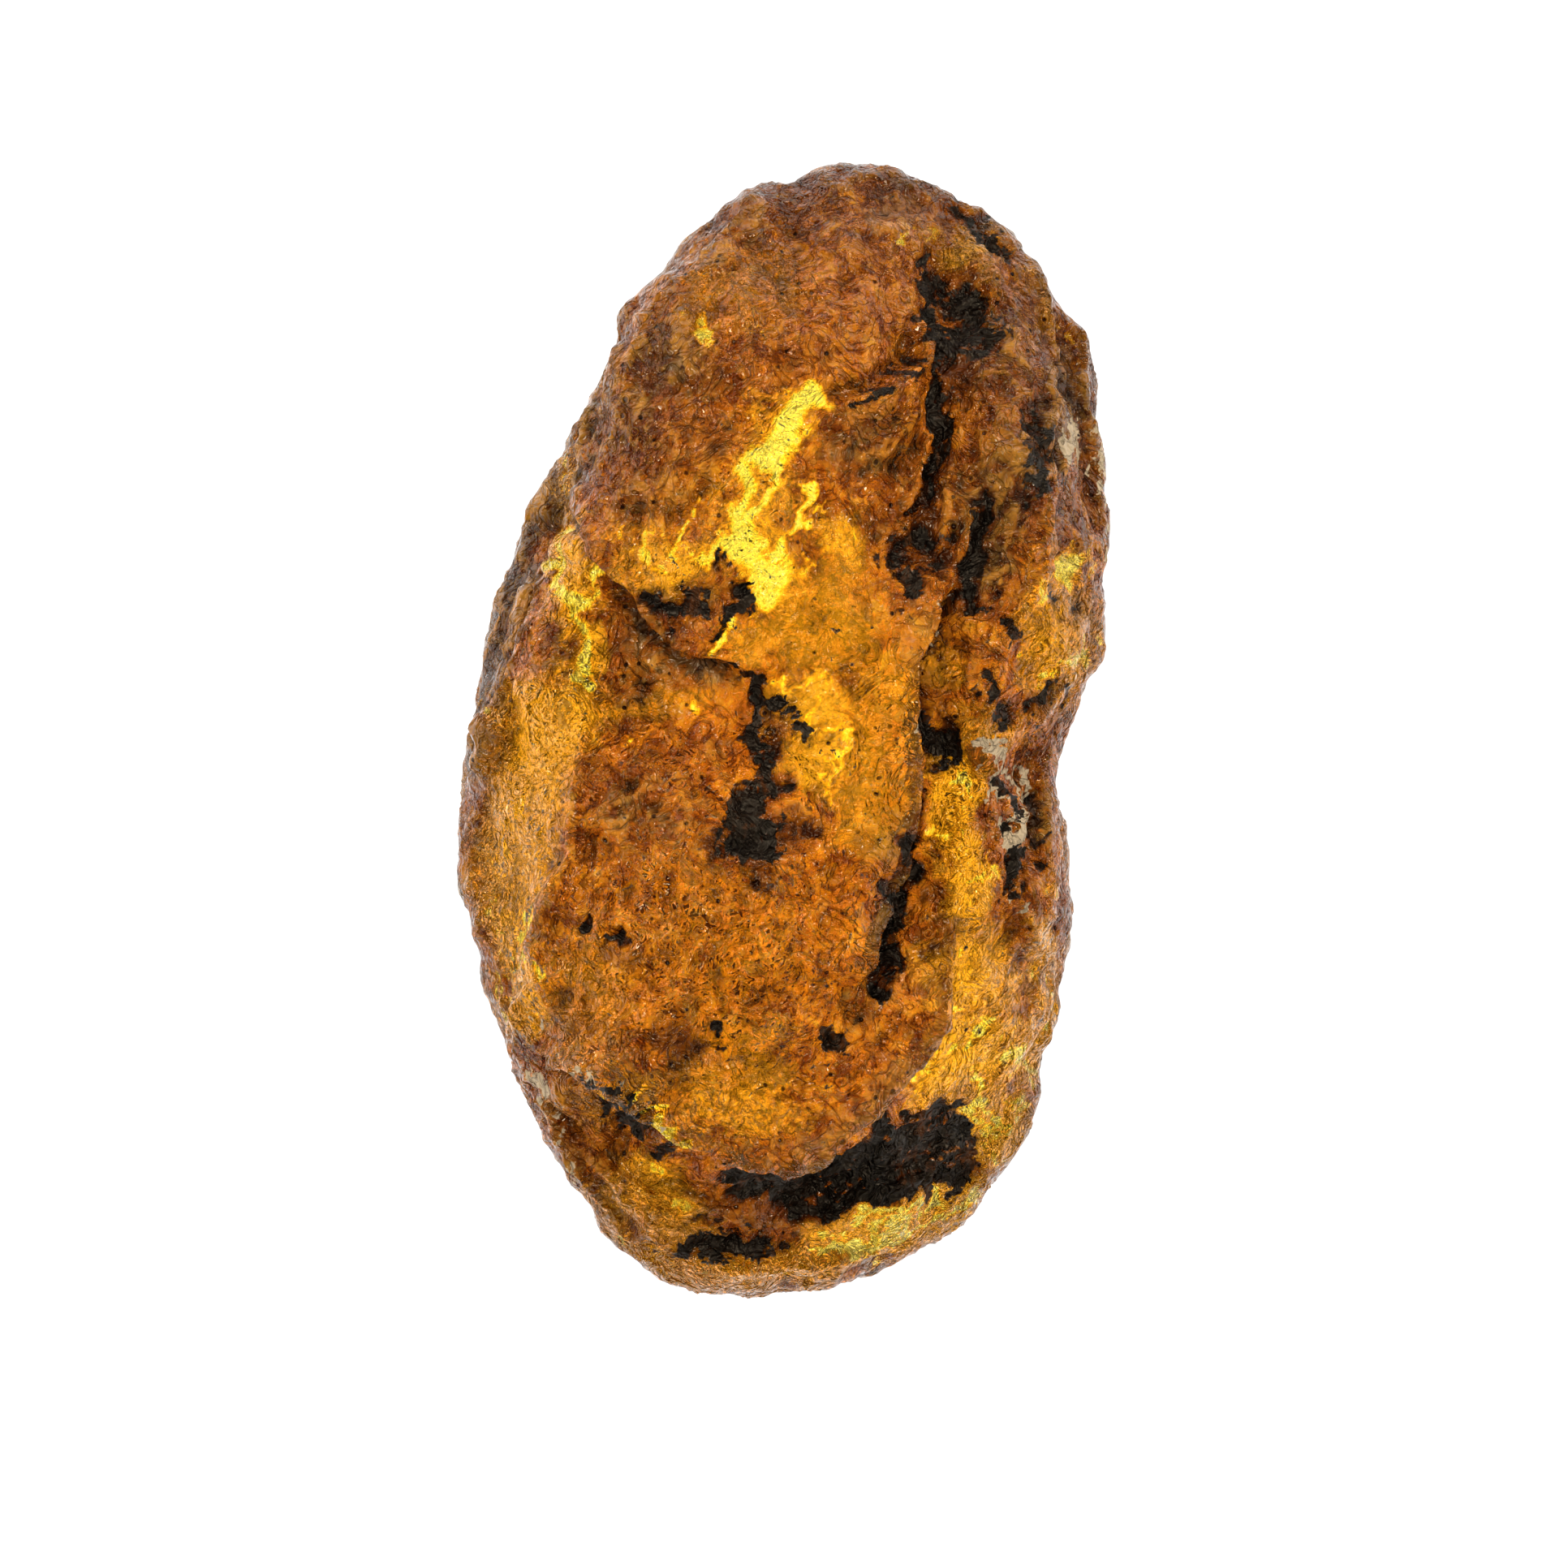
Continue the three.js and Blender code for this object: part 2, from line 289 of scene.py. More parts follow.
MARKS: dict[Mark, tuple] = {
    Mark.CRUST: (
        # beside the head, and the furrow below it
        Patch((8, 23.6), (0.6, 0.77), 0.95),
        Patch((7.9, 21.6), (0.51, 2.4), 1),
        Patch((9.8, 22.6), (1.5, 1), 0.8),
        Patch((10.7, 21.4), (1.5, 1.5), 0.7),
        Patch((9.2, 20.4), (1.5, 1.2), 0.75),
        Patch((7.7, 24.9), (0.39, 0.6), 0.9),
        Stroke(0.34, 0.9, ((8.2, 19.7), (8.3, 18), (8.4, 16.3), (8.2, 14.6))),
        Stroke(0.26, 0.75, ((8.2, 14.6), (7.9, 12.9), (7.3, 11.6))),
        Stroke(0.26, 0.7, ((6.7, 19.4), (6, 18.7), (5.5, 18.1), (4.6, 17.6), (3.5, 17.3))),
        # on the rim above it
        Stroke(0.39, 0.95, ((9.1, 27.9), (9.9, 27.3), (10.5, 26.6), (11.2, 25.9))),
        Stroke(0.3, 0.7, ((11.2, 25.9), (11.9, 25.1))),
        Patch((10.6, 27.2), (0.6, 0.43), 0.6),
        # right lobe
        Patch((13.6, 13.9), (0.69, 1.3), 0.8),
        Stroke(0.39, 0.6, ((13.3, 17.1), (13.8, 15.9), (14.2, 14.6))),
        Patch((13, 11.9), (0.6, 0.9), 0.65),
        Patch((13.9, 12.9), (0.9, 0.39), 0.6),
        Stroke(0.34, 1, ((11, 12.3), (10.6, 11.1), (10.2, 9.9), (10.1, 8.6), (9.7, 6.9))),
        Stroke(0.39, 1, ((10.5, 10.3), (10.3, 8.6))),
        Patch((10.7, 6.2), (1.1, 0.43), 0.7),
        Patch((11.5, 7.2), (0.69, 0.34), 0.6),
        Patch((12.3, 5.2), (0.51, 0.9), 0.8),
        Patch((11.2, 2.7), (0.34, 0.77), 0.85),
        Patch((11, 1.9), (0.43, 0.3), 0.8),
        Patch((11.8, 0.7), (0.51, 0.51), 0.75),
        Patch((13.1, 0.9), (0.34, 0.69), 0.7),
        Stroke(0.3, 0.65, ((13.1, 1.3), (13.9, 1.8), (15.1, 1.9))),
        Patch((14.4, 6.9), (0.34, 0.6), 0.6),
        Patch((15.6, 7.1), (0.51, 0.51), 0.5),
        # between the right lobe and the plateau
        Patch((7.2, 9.8), (1.4, 0.51), 0.85),
        Patch((5.9, 9.2), (0.51, 0.69), 0.75),
        Patch((7, 7.6), (0.9, 0.51), 0.9),
        Patch((6.5, 6.5), (0.43, 0.51), 0.55),
        Patch((8.3, 8.6), (0.6, 0.51), 0.6),
        # beside the long lip
        Patch((7.7, 0.9), (0.6, 1.3), 0.95),
        Patch((8.7, -0.5), (1.1, 0.9), 1),
        Patch((7.3, -0.7), (0.6, 0.69), 0.9),
        Stroke(0.26, 0.6, ((7.1, -2.6), (7.9, -2.1), (9.2, -1.8))),
        Patch((7.1, -4.1), (0.26, 0.51), 0.7),
        Stroke(0.73, 1, ((6.5, -6.4), (6.3, -8.1), (5.8, -10.3), (5.4, -12.4))),
        Patch((7.2, -7.3), (0.26, 0.39), 0.7),
        Patch((5.6, -7.2), (0.26, 0.26), 0.6),
        # waist
        Stroke(0.34, 0.85, ((11.3, -2.9), (11.8, -3.9), (12.2, -4.7))),
        Stroke(0.21, 0.9, ((12.4, -6.4), (12.5, -8.6))),
        Patch((13, -3.6), (0.39, 0.69), 0.8),
        Stroke(0.3, 0.7, ((13.1, -4.7), (13.9, -5.6))),
        Patch((13.7, -7.5), (0.39, 0.39), 0.9),
        Patch((13.7, -4.3), (0.51, 0.43), 0.5),
        # under the head's lip
        Patch((-6.8, 6.9), (0.6, 0.39), 0.85),
        Stroke(0.34, 0.8, ((-6.8, 6.9), (-5.8, 6.4), (-4.6, 6.2))),
        Patch((-4.6, 6.8), (0.43, 0.77), 0.7),
        Stroke(0.21, 0.6, ((-3.8, 8.3), (-2.8, 9), (-2.3, 8.1))),
        Patch((-1.9, 7.1), (0.43, 0.77), 0.85),
        Patch((-2.3, 6.2), (0.77, 0.43), 0.9),
        Stroke(0.26, 0.8, ((-2.3, 6.2), (-3.2, 5.3), (-3.5, 5.1))),
        Patch((-5.9, 4.9), (0.34, 0.34), 0.5),
        # the crevice in the middle
        Stroke(0.34, 0.9, ((-2.6, 3.3), (-1.7, 2.7), (-1.1, 1.8), (-0.1, 1.2))),
        Patch((-0.1, 1.1), (0.6, 0.6), 0.9),
        Stroke(0.39, 0.9, ((-1.6, 1.4), (-1.3, 0), (-1, -1.7))),
        Patch((1.1, 0.2), (1, 0.39), 0.8),
        Patch((1.6, -0.5), (0.34, 0.43), 0.6),
        Patch((-0.9, -2.4), (0.6, 1), 0.9),
        Patch((-0.1, -3.1), (0.69, 0.51), 0.8),
        Patch((-1.7, -4.1), (0.9, 1.1), 1),
        Patch((-1.5, -5.7), (1.8, 1.3), 1),
        Patch((-2.6, -6.5), (0.9, 0.43), 0.8),
        Patch((-0.9, -6.5), (1, 0.6), 0.9),
        Patch((-1.1, -7.5), (0.43, 0.51), 0.6),
        Patch((-3.1, -6.3), (0.34, 0.6), 0.7),
        Patch((-0.1, -5.5), (0.6, 0.77), 0.7),
        Patch((0.8, -5.7), (0.6, 0.43), 0.4),
        # bands round the lower end
        Stroke(0.51, 0.95, ((3, -22.8), (4, -22.5), (5.3, -21.9), (7.1, -21.3), (9.2, -20.6))),
        Stroke(0.69, 1, ((1.9, -23.4), (4, -23.1), (6.6, -22.5), (9.6, -21.6))),
        Stroke(0.51, 0.85, ((1.5, -24.4), (4, -24), (7.1, -23.5), (9.9, -22.7))),
        Stroke(0.47, 1, ((0.8, -25.5), (2.8, -25.4), (4.9, -24.8), (7.5, -24.2), (9.6, -23.8))),
        Stroke(0.3, 0.8, ((6.6, -20.5), (8.3, -20.2), (9.9, -20.4))),
        Stroke(0.56, 0.95, ((-2.6, -24.1), (-0.7, -24.4), (0.8, -24.8))),
        Stroke(0.6, 0.9, ((-5.1, -27.1), (-3.7, -27.3), (-1.5, -27.5))),
        Stroke(0.3, 0.6, ((-1.5, -27.4), (0.2, -27.4))),
        Stroke(0.21, 0.5, ((-5, -26.2), (-3.7, -26.1), (-2, -26.4))),
        Patch((9.5, -25), (0.34, 0.21), 0.7),
        Stroke(0.34, 0.7, ((-9.6, -18.3), (-8.6, -18.9), (-7.5, -19.5))),
        Patch((-8.8, -19.8), (0.9, 0.34), 0.85),
        Patch((-7.8, -20.7), (0.9, 0.69), 1),
        Patch((-8.1, -21.5), (0.69, 0.34), 0.8),
        Patch((-6.2, -22.4), (0.6, 0.34), 0.7),
        Stroke(0.26, 0.7, ((-5, -22.2), (-3.7, -22.8), (-2.4, -23))),
        # pores of the belly
        Patch((-8.7, -11), (0.51, 0.34), 1),
        Patch((-10.2, -10.5), (0.3, 0.3), 0.9),
        Patch((2.9, -16.9), (0.56, 0.64), 1),
        Patch((-3.5, -16.1), (0.3, 0.34), 0.95),
        Patch((-3.2, -16.7), (0.21, 0.17), 0.9),
        Patch((5, -13.9), (0.56, 0.56), 0.95),
    ),
    Mark.STAIN: (
        # round the dark furrow beside the head
        Patch((9.6, 18.4), (2.6, 1.7), 0.6),
        Stroke(0.69, 0.85, ((8.6, 14.6), (8.3, 12.9), (7.5, 11.1), (6.4, 9.9))),
        Patch((7.5, 9), (1.7, 1.3), 0.6),
        # round the crevice in the middle
        Patch((0.8, 1.6), (1.7, 1.1), 0.7),
        Patch((0.4, -0.2), (1.9, 0.9), 0.9),
        Patch((-0.2, -1.3), (1, 1.7), 0.6),
        Stroke(0.6, 0.5, ((1.1, -1.3), (1.5, -2.6))),
        Patch((0.6, -5.4), (1, 0.9), 0.95),
        Patch((-3.5, -6.4), (0.6, 0.9), 0.9),
        Patch((-0.9, -7.5), (0.77, 0.6), 0.8),
        # under the head's lip
        Patch((-5.5, 6.9), (2.1, 0.9), 0.85),
        Patch((-5.6, 5.4), (1.3, 0.69), 0.5),
        Patch((-3.2, 7.7), (1.1, 1), 0.6),
        Stroke(0.34, 0.5, ((-7.1, 6), (-5.4, 4.7), (-3.7, 4.3))),
        # belly
        Patch((-8.3, -12), (1.3, 0.6), 0.75),
        Patch((-5.4, -17.1), (1, 2), 0.9),
        Patch((-6.6, -16.1), (0.69, 0.9), 0.8),
        Patch((-9.9, -15.9), (1.3, 0.34), 0.6),
        Patch((-11.7, -15.6), (0.69, 0.34), 0.6),
        Stroke(0.51, 0.8, ((9.2, -9.4), (8.3, -11.6), (7.9, -13.7))),
        Patch((9.2, -9.9), (0.9, 0.43), 0.5),
        # head
        Stroke(0.86, 0.5, ((-2.8, 27.3), (-0.2, 28.6), (3.6, 29.5), (7.9, 28.5), (10.1, 27))),
        Patch((3.2, 28.6), (0.9, 0.34), 0.6),
        Patch((-4.1, 16.3), (2.6, 1.7), 0.4),
        Patch((4, 8.6), (0.69, 1.3), 0.4),
        # lower end
        Stroke(0.94, 0.5, ((3.4, -23.1), (5.8, -21.9), (7.9, -20.6), (9.6, -19.3))),
        Stroke(0.43, 0.6, ((-7.1, -21.4), (-5, -22.5), (-2, -23.1), (1.5, -22.7))),
        Stroke(0.6, 0.6, ((-4.5, -24.9), (-2.8, -25.3), (-0.2, -25.3))),
        Stroke(0.51, 0.5, ((-4.5, -25.7), (-0.7, -26.1), (1.9, -26.1))),
        # beside the long lip
        Stroke(0.69, 0.7, ((8.3, 3), (8.6, 0.9), (7.9, -1.3), (7.1, -3))),
        Stroke(0.77, 0.95, ((7, -3.6), (6.5, -6), (6.1, -8.1), (5.5, -10.3), (5.2, -12.9))),
        Stroke(0.6, 0.6, ((9.9, 8.6), (9.2, 6), (8.6, 3.9))),
        # right lobe
        Patch((15.2, 6), (1.7, 1), 0.6),
        Patch((13.9, 1.2), (1.5, 0.69), 0.6),
        Patch((11.3, 0.9), (1.3, 1), 0.5),
        Patch((11.8, 11.1), (1.3, 2.6), 0.45),
        Patch((15.2, 17.6), (1.3, 1.3), 0.5),
    ),
    Mark.WINDOW: (
        # the bright streak down from the head
        Patch((1.6, 17.6), (0.9, 0.34), 1),
        Stroke(0.86, 1, ((1.5, 17.5), (0.8, 16.6), (0.1, 15.4))),
        Stroke(1.03, 1, ((0, 15.6), (-0.5, 14.7))),
        Stroke(0.39, 1, ((0, 14.7), (-0.2, 13.3), (-0.8, 12), (-1.5, 10.9))),
        Stroke(0.51, 0.95, ((-1.1, 14.9), (-1.8, 13.7), (-2.1, 12.4), (-2.4, 10.9))),
        Patch((-1.9, 10.2), (1.3, 0.9), 1),
        Stroke(0.86, 1, ((-2.7, 10.1), (-1.3, 9), (-0.1, 8.1))),
        Patch((-0.5, 7.9), (1.1, 1.5), 1),
        Patch((-1, 6.6), (0.69, 0.6), 1),
        Stroke(0.26, 0.95, ((-2.9, 9.8), (-3.5, 9.1), (-4.1, 8.7))),
        Stroke(0.34, 0.8, ((0.3, 10.5), (-0.1, 9.4))),
        # smaller ones round it
        Stroke(0.34, 1, ((1.7, 13), (1.5, 11.8), (1, 10.6))),
        Stroke(0.13, 0.7, ((2.6, 12.9), (2.8, 11.9), (2.3, 10.9))),
        Stroke(0.17, 0.9, ((-4.5, 12.3), (-4.9, 11.1), (-5.2, 9.5))),
        Stroke(0.17, 0.8, ((-7, 10.1), (-6.8, 9.2), (-6.5, 8.8))),
        Stroke(0.21, 0.7, ((-5.5, 9.6), (-4.5, 9.9), (-4, 9))),
        Patch((-4.3, 8.9), (0.6, 0.34), 0.7),
        Stroke(0.21, 0.95, ((-3.7, 4.5), (-2.9, 5.2), (-2.4, 5.6))),
        Patch((1.5, 8.6), (0.26, 0.34), 0.6),
        Patch((3.3, 10.5), (0.34, 0.6), 0.7),
        Stroke(0.13, 0.6, ((3.8, 9.4), (4, 8.6))),
        Stroke(0.13, 0.6, ((-8.6, 11.1), (-8.3, 10.1))),
        # the strip on the left flank
        Patch((-11.5, 9.9), (0.56, 0.6), 0.95),
        Patch((-11.7, 9), (0.39, 0.6), 0.9),
        Stroke(0.47, 0.95, ((-11.6, 8.6), (-11.4, 7.7), (-10.9, 6.9), (-10.4, 6.5))),
        Stroke(0.26, 0.8, ((-9.8, 8.6), (-10, 7.3), (-10.3, 6.4))),
        Stroke(0.43, 1, ((-10.4, 6), (-10.6, 4.3), (-10.4, 2.1))),
        Patch((-10.7, 3.9), (0.39, 0.51), 1),
        Stroke(0.21, 0.7, ((-11.2, 15.1), (-11.6, 13.9), (-11.5, 12.6))),
        Patch((-10.4, 14.1), (0.15, 0.6), 0.6),
        # sparks in the middle
        Stroke(0.21, 0.6, ((-0.2, 2.4), (1.1, 2.4), (2.3, 2.7))),
        Stroke(0.21, 0.6, ((1.1, 0.9), (1.9, 1.5), (3.2, 2.1))),
        Stroke(0.17, 0.6, ((0.8, 0.3), (1.5, 0.9))),
        Stroke(0.21, 0.65, ((1.9, -0.2), (3, 0.4), (3.4, 0))),
        Patch((3.1, -0.6), (0.39, 0.39), 0.75),
        Stroke(0.17, 0.65, ((2.1, -1.3), (3, -1.5), (3.4, -1.1))),
        Stroke(0.17, 0.65, ((1.9, -2.2), (2.8, -2.6), (3.2, -1.7))),
        Patch((2.7, -3.2), (0.21, 0.34), 0.6),
        Patch((0.8, -0.6), (0.34, 0.26), 0.5),
        # right lobe
        Patch((15.2, 8.4), (1.1, 0.77), 1),
        Patch((15.8, 9), (0.69, 0.51), 0.8),
        Stroke(0.26, 0.8, ((14, 7.9), (13.7, 6.9))),
        Patch((16.1, 4.1), (0.43, 0.9), 1),
        Patch((15.4, 3.8), (0.6, 0.6), 0.8),
        Patch((14.3, 2.8), (0.69, 0.51), 0.9),
        Patch((13, 3.8), (0.43, 0.3), 0.8),
        Patch((13.9, 4), (0.51, 0.34), 0.6),
        Patch((15.6, 20.6), (0.26, 0.69), 0.9),
        Patch((14.9, 21.6), (0.34, 0.43), 0.6),
        Patch((14.8, 1.2), (0.21, 0.34), 0.6),
        # below the waist
        Patch((8.2, -2.5), (0.34, 0.26), 0.7),
        Patch((9.5, -2.7), (0.6, 0.39), 0.95),
        Stroke(0.21, 0.8, ((9.8, -2.8), (9.7, -3.6))),
        Patch((8.4, -5.6), (0.69, 0.6), 0.8),
        Stroke(0.21, 0.6, ((8.8, -6.9), (9.2, -6.4), (9.6, -5.6))),
        Patch((11, -6.7), (0.21, 0.51), 0.8),
        Patch((11.2, -7.9), (0.51, 0.43), 0.9),
        Patch((10.3, -7.8), (0.34, 0.26), 0.7),
        Patch((9.8, -1.5), (0.26, 0.43), 0.6),
        Patch((14.5, -8.4), (0.43, 0.43), 0.6),
        # lower right
        Patch((9.5, -12.4), (0.21, 0.43), 0.7),
        Patch((8.7, -13.9), (0.3, 0.34), 0.8),
        Patch((9.2, -14.8), (0.6, 0.3), 0.9),
        Stroke(0.39, 0.95, ((8.3, -15.2), (7.8, -16.3), (7.4, -17.6), (7.1, -18.6))),
        Patch((7.9, -18.2), (0.77, 0.34), 0.9),
        Stroke(0.26, 0.9, ((7.9, -17.4), (8.8, -17.1), (9.6, -16.8))),
        Patch((10.7, -16.1), (0.34, 0.43), 0.9),
        Patch((10.9, -15.3), (0.26, 0.34), 0.8),
        Patch((10.3, -16.7), (0.51, 0.34), 0.8),
        Patch((12.5, -17.4), (0.6, 0.9), 0.9),
        Patch((13.1, -18.4), (0.43, 0.6), 0.8),
        Stroke(0.34, 0.8, ((10.6, -18.4), (10.5, -19.7), (10.4, -21))),
        Stroke(0.3, 0.9, ((10.7, -19.5), (11.1, -20.1), (11.8, -21))),
        Patch((12.6, -20.1), (0.51, 0.69), 0.7),
        Patch((11, -21.6), (0.43, 0.77), 0.7),
        Patch((11.3, -23.1), (0.6, 0.51), 0.7),
        Stroke(0.21, 0.8, ((14.1, -13.1), (14.2, -14.1), (13.9, -15.4))),
        # lower rim
        Patch((2.6, -26.8), (0.6, 0.34), 1),
        Stroke(0.3, 0.95, ((4, -26.1), (5.8, -25.7), (7.5, -25.3), (8.6, -25))),
        Stroke(0.3, 1, ((2.3, -27.9), (4, -27.4), (5.8, -27))),
        Stroke(0.3, 0.9, ((5.8, -26.8), (7.9, -26.1), (9.6, -25.4), (10.7, -24.9))),
        Stroke(0.17, 0.8, ((4.5, -26.8), (6.6, -26.2))),
        Patch((4.7, -28.1), (0.6, 0.26), 0.8),
        Patch((0.5, -28.7), (0.51, 0.3), 0.7),
        Patch((-4.1, -28.5), (1.3, 0.26), 0.5),
        Patch((-7.1, -28.6), (0.6, 0.26), 0.8),
        Stroke(0.21, 0.8, ((-8.8, -27.4), (-7.7, -28.2))),
        # under the belly's lip
        Stroke(0.21, 0.95, ((-7.3, -19.4), (-6.6, -20.1))),
        Stroke(0.34, 1, ((-6.5, -20.7), (-5.4, -21.2), (-4.1, -22.1), (-3.3, -22.4))),
        Patch((-5.7, -20.9), (0.6, 0.3), 1),
        Patch((-6.6, -23.3), (0.34, 0.3), 0.9),
        Patch((-5.4, -25.4), (0.43, 0.6), 0.85),
        Patch((-6.3, -24.2), (0.34, 0.43), 0.6),
        Stroke(0.21, 0.5, ((-4.9, -19.4), (-4.1, -20), (-3.9, -20.6))),
        # left rim
        Stroke(0.3, 0.9, ((-13.3, -9), (-13.6, -10.3), (-13.4, -12), (-12.6, -12.9))),
        Stroke(0.21, 0.7, ((-13.7, -11.1), (-14, -12.9))),
        Stroke(0.21, 0.6, ((-15.5, -9), (-15, -10.7), (-14.6, -12.9))),
        Stroke(0.17, 0.8, ((-15.2, -13.3), (-14.8, -14.6), (-14.3, -15.9))),
        Patch((-10.9, -18.2), (0.17, 0.43), 0.7),
        Stroke(0.13, 0.7, ((-9.7, -18.4), (-9.3, -19.3))),
        Patch((-14.9, 0.6), (0.21, 0.34), 0.8),
        Patch((-8.2, -0.7), (0.34, 0.26), 0.9),
        Patch((-4.7, 1), (0.34, 0.17), 0.8),
        # head
        Stroke(0.17, 0.6, ((-5.3, 22.7), (-5.1, 21.8))),
        Patch((-4.2, 21.6), (0.39, 1.1), 0.8),
        Patch((-1.3, 21.2), (0.39, 0.17), 0.6),
        Patch((5.2, 24.6), (0.51, 0.21), 0.5),
        Stroke(0.17, 0.7, ((6, 26.1), (7.1, 26.4), (7.7, 25.9))),
        Patch((7.9, 26.4), (0.26, 0.6), 0.6),
    ),
    Mark.EMBER: (
        Stroke(1.97, 0.9, ((-11.8, 0.9), (-13.1, -2.1), (-14, -5.1), (-14.4, -8.1))),
        Patch((1.5, 1.3), (2.4, 1.5), 0.7),
        Patch((1.9, -1.5), (1.9, 1.9), 0.6),
        Stroke(1.11, 0.8, ((9, -1.3), (9.4, -3.4), (9.2, -5.6), (9.8, -8.1), (10.1, -9.9))),
        Patch((10.1, -12.9), (2.6, 2.6), 0.7),
        Patch((10.5, -17.1), (3, 2.1), 0.9),
        Patch((11.3, -21.4), (1.7, 2.1), 0.9),
        Patch((14.8, 5.1), (2.1, 3.9), 0.7),
        Patch((8.3, -15), (1.1, 3.4), 0.6),
        Stroke(1.54, 0.6, ((-7.1, -23.6), (-5.8, -25.3), (-4.5, -27.4))),
        Patch((-8.8, -25.7), (2.1, 2.1), 0.5),
        Stroke(1.29, 0.95, ((-7.1, -28.5), (-2.8, -29.1), (1.5, -28.5))),
        Stroke(1.03, 0.8, ((-11.4, -24.9), (-9.7, -27), (-7.5, -28.3))),
        Stroke(0.77, 0.8, ((13.9, -10.7), (14.3, -14.1), (13.5, -17.6))),
        Stroke(1.29, 0.9, ((2.8, -27.4), (6.2, -26.6), (9.6, -24.9))),
        Stroke(1.11, 0.8, ((-14.8, -9), (-14, -12.9), (-13.5, -15.4))),
        Patch((-11.4, 12.9), (0.9, 2.6), 0.6),
        Patch((-11, 8.6), (1, 2.6), 0.8),
        Patch((-10.5, 4.3), (0.77, 2.6), 0.9),
        Patch((-5.8, 8.6), (2.6, 1.7), 0.6),
        Patch((-1.1, 11.1), (2.6, 3.9), 0.5),
        Patch((3.2, 10.3), (1.3, 1.7), 0.5),
        Patch((10.1, 25.7), (1.7, 1.3), 0.6),
        Patch((10.9, 0), (2.1, 1.3), 0.5),
        Patch((8.8, -18.9), (2.6, 1.1), 0.6),
        Patch((-1.5, -20.1), (3.9, 1.3), 0.4),
        Patch((-0.2, 16.3), (1.7, 1.7), 0.5),
    ),
    Mark.HONEY: (
        Patch((1.9, 5.6), (3, 2.6), 0.75),
        Patch((3.4, 7.7), (1.3, 2.1), 0.7),
        Patch((-0.2, 4.7), (2.6, 1), 0.7),
        Patch((4.7, 5.1), (1.1, 2.6), 0.5),
        Stroke(1.46, 0.6, ((5.3, 3), (5.1, 0), (4.8, -2.6), (4, -5.6))),
        Patch((-3.7, -12), (8.6, 7.3), 0.25),
        Patch((-2.8, -18.9), (3.4, 2.1), 0.55),
        Patch((-2.8, -16.7), (2.6, 2.1), 0.4),
        Patch((-10.1, -14.1), (2.6, 3.9), 0.5),
        Patch((-8.8, -19.7), (3, 1.7), 0.5),
        Patch((8.3, 3.4), (1.3, 1.3), 0.7),
        Stroke(0.69, 0.4, ((12.7, 24.4), (14.3, 20.6), (15.6, 18))),
        Patch((-4.1, 23.6), (1.5, 2.6), 0.5),
        Patch((-0.7, 23.6), (2.6, 2.6), 0.35),
        Patch((-14, -12), (1.1, 3), 0.5),
        Stroke(0.69, 0.5, ((-9.7, 1.5), (-7.1, 1.4), (-3.7, 1.6))),
        Patch((-5, 12), (2.6, 2.6), 0.25),
    ),
    Mark.SMOKE: (
        Patch((4.7, 15.2), (2.8, 2.6), 0.7),
        Patch((3.2, 16.3), (1.7, 1), 0.5),
        Patch((6.2, 13.3), (1.3, 2.6), 0.6),
        Patch((4.7, 11.1), (1.7, 1.7), 0.5),
        Patch((-5.8, 19.7), (2.3, 2.1), 0.75),
        Patch((-4.1, 18.4), (1.7, 1.5), 0.55),
        Patch((-8, 16.3), (2.1, 2.6), 0.6),
        Patch((-7.1, 12.9), (2.6, 2.6), 0.5),
        Patch((-7.5, 4.7), (2.1, 2.6), 0.7),
        Patch((-5.4, 3), (2.6, 1.1), 0.7),
        Patch((-6.7, 1.9), (2.1, 0.6), 0.6),
        Patch((5.8, -10.7), (1.7, 3.9), 0.5),
        Patch((7.1, 4.3), (0.9, 2.6), 0.5),
        Patch((15.2, 11.1), (1.1, 2.6), 0.5),
        Patch((-11.8, -23.1), (2.6, 2.6), 0.5),
        Patch((-3.7, -0.9), (1.3, 0.9), 0.6),
        Patch((-8, -4.3), (1.7, 2.1), 0.6),
        Patch((-7.1, -2.6), (1.7, 1.3), 0.5),
        Patch((-5.8, -5.1), (1.3, 1.3), 0.4),
        Stroke(1.2, 0.9, (
            (-11.8, 12.7), (-13.3, 11.1), (-14.7, 8.5), (-15.6, 5.1), (-16.3, 0.7), (-16.5, -1.7))),
        Stroke(1.11, 0.8, ((-13.5, 7.7), (-14.4, 4.7), (-15.2, 1.7))),
        Stroke(0.56, 0.75, ((-5.8, 26.1), (-7.1, 23.9), (-8.5, 21.3))),
        Stroke(0.6, 0.7, ((-8.7, 17.1), (-9.6, 15.4), (-10.4, 12.9), (-11.1, 10.9))),
        Patch((4.9, -6.4), (1, 1.5), 0.8),
        Patch((4.7, -5.1), (0.69, 1.3), 0.5),
        Patch((13.9, -4.7), (0.9, 1.3), 0.8),
        Patch((10.9, 19.7), (2.6, 2.6), 0.5),
        Patch((14.8, 17.1), (1.7, 2.6), 0.8),
        Patch((13.1, 14.6), (2.6, 2.1), 0.8),
        Patch((11.8, 12), (2.1, 2.6), 0.8),
        Patch((11.1, 9), (1.5, 2.1), 0.85),
        Patch((9.2, 12), (1.3, 2.6), 0.6),
        Patch((12.6, 19.7), (1.7, 2.6), 0.6),
        Patch((0.8, -11.1), (0.6, 1.1), 0.45),
        Patch((4, -14.4), (1.1, 0.9), 0.6),
        Patch((-11.4, -19.3), (2.6, 1.9), 0.5),
        Patch((-1.1, -26.6), (3.4, 0.6), 0.4),
    ),
    # painted sheen: a pale pinkish reflection of the light on the head, the flanks and along some lips
    Mark.BLOOM: (
        Patch((-1.8, 27.2), (0.9, 0.51), 1),
        Patch((-3.2, 24.9), (0.69, 1), 0.6),
        Patch((1.9, 20.6), (4.7, 3.4), 0.4),
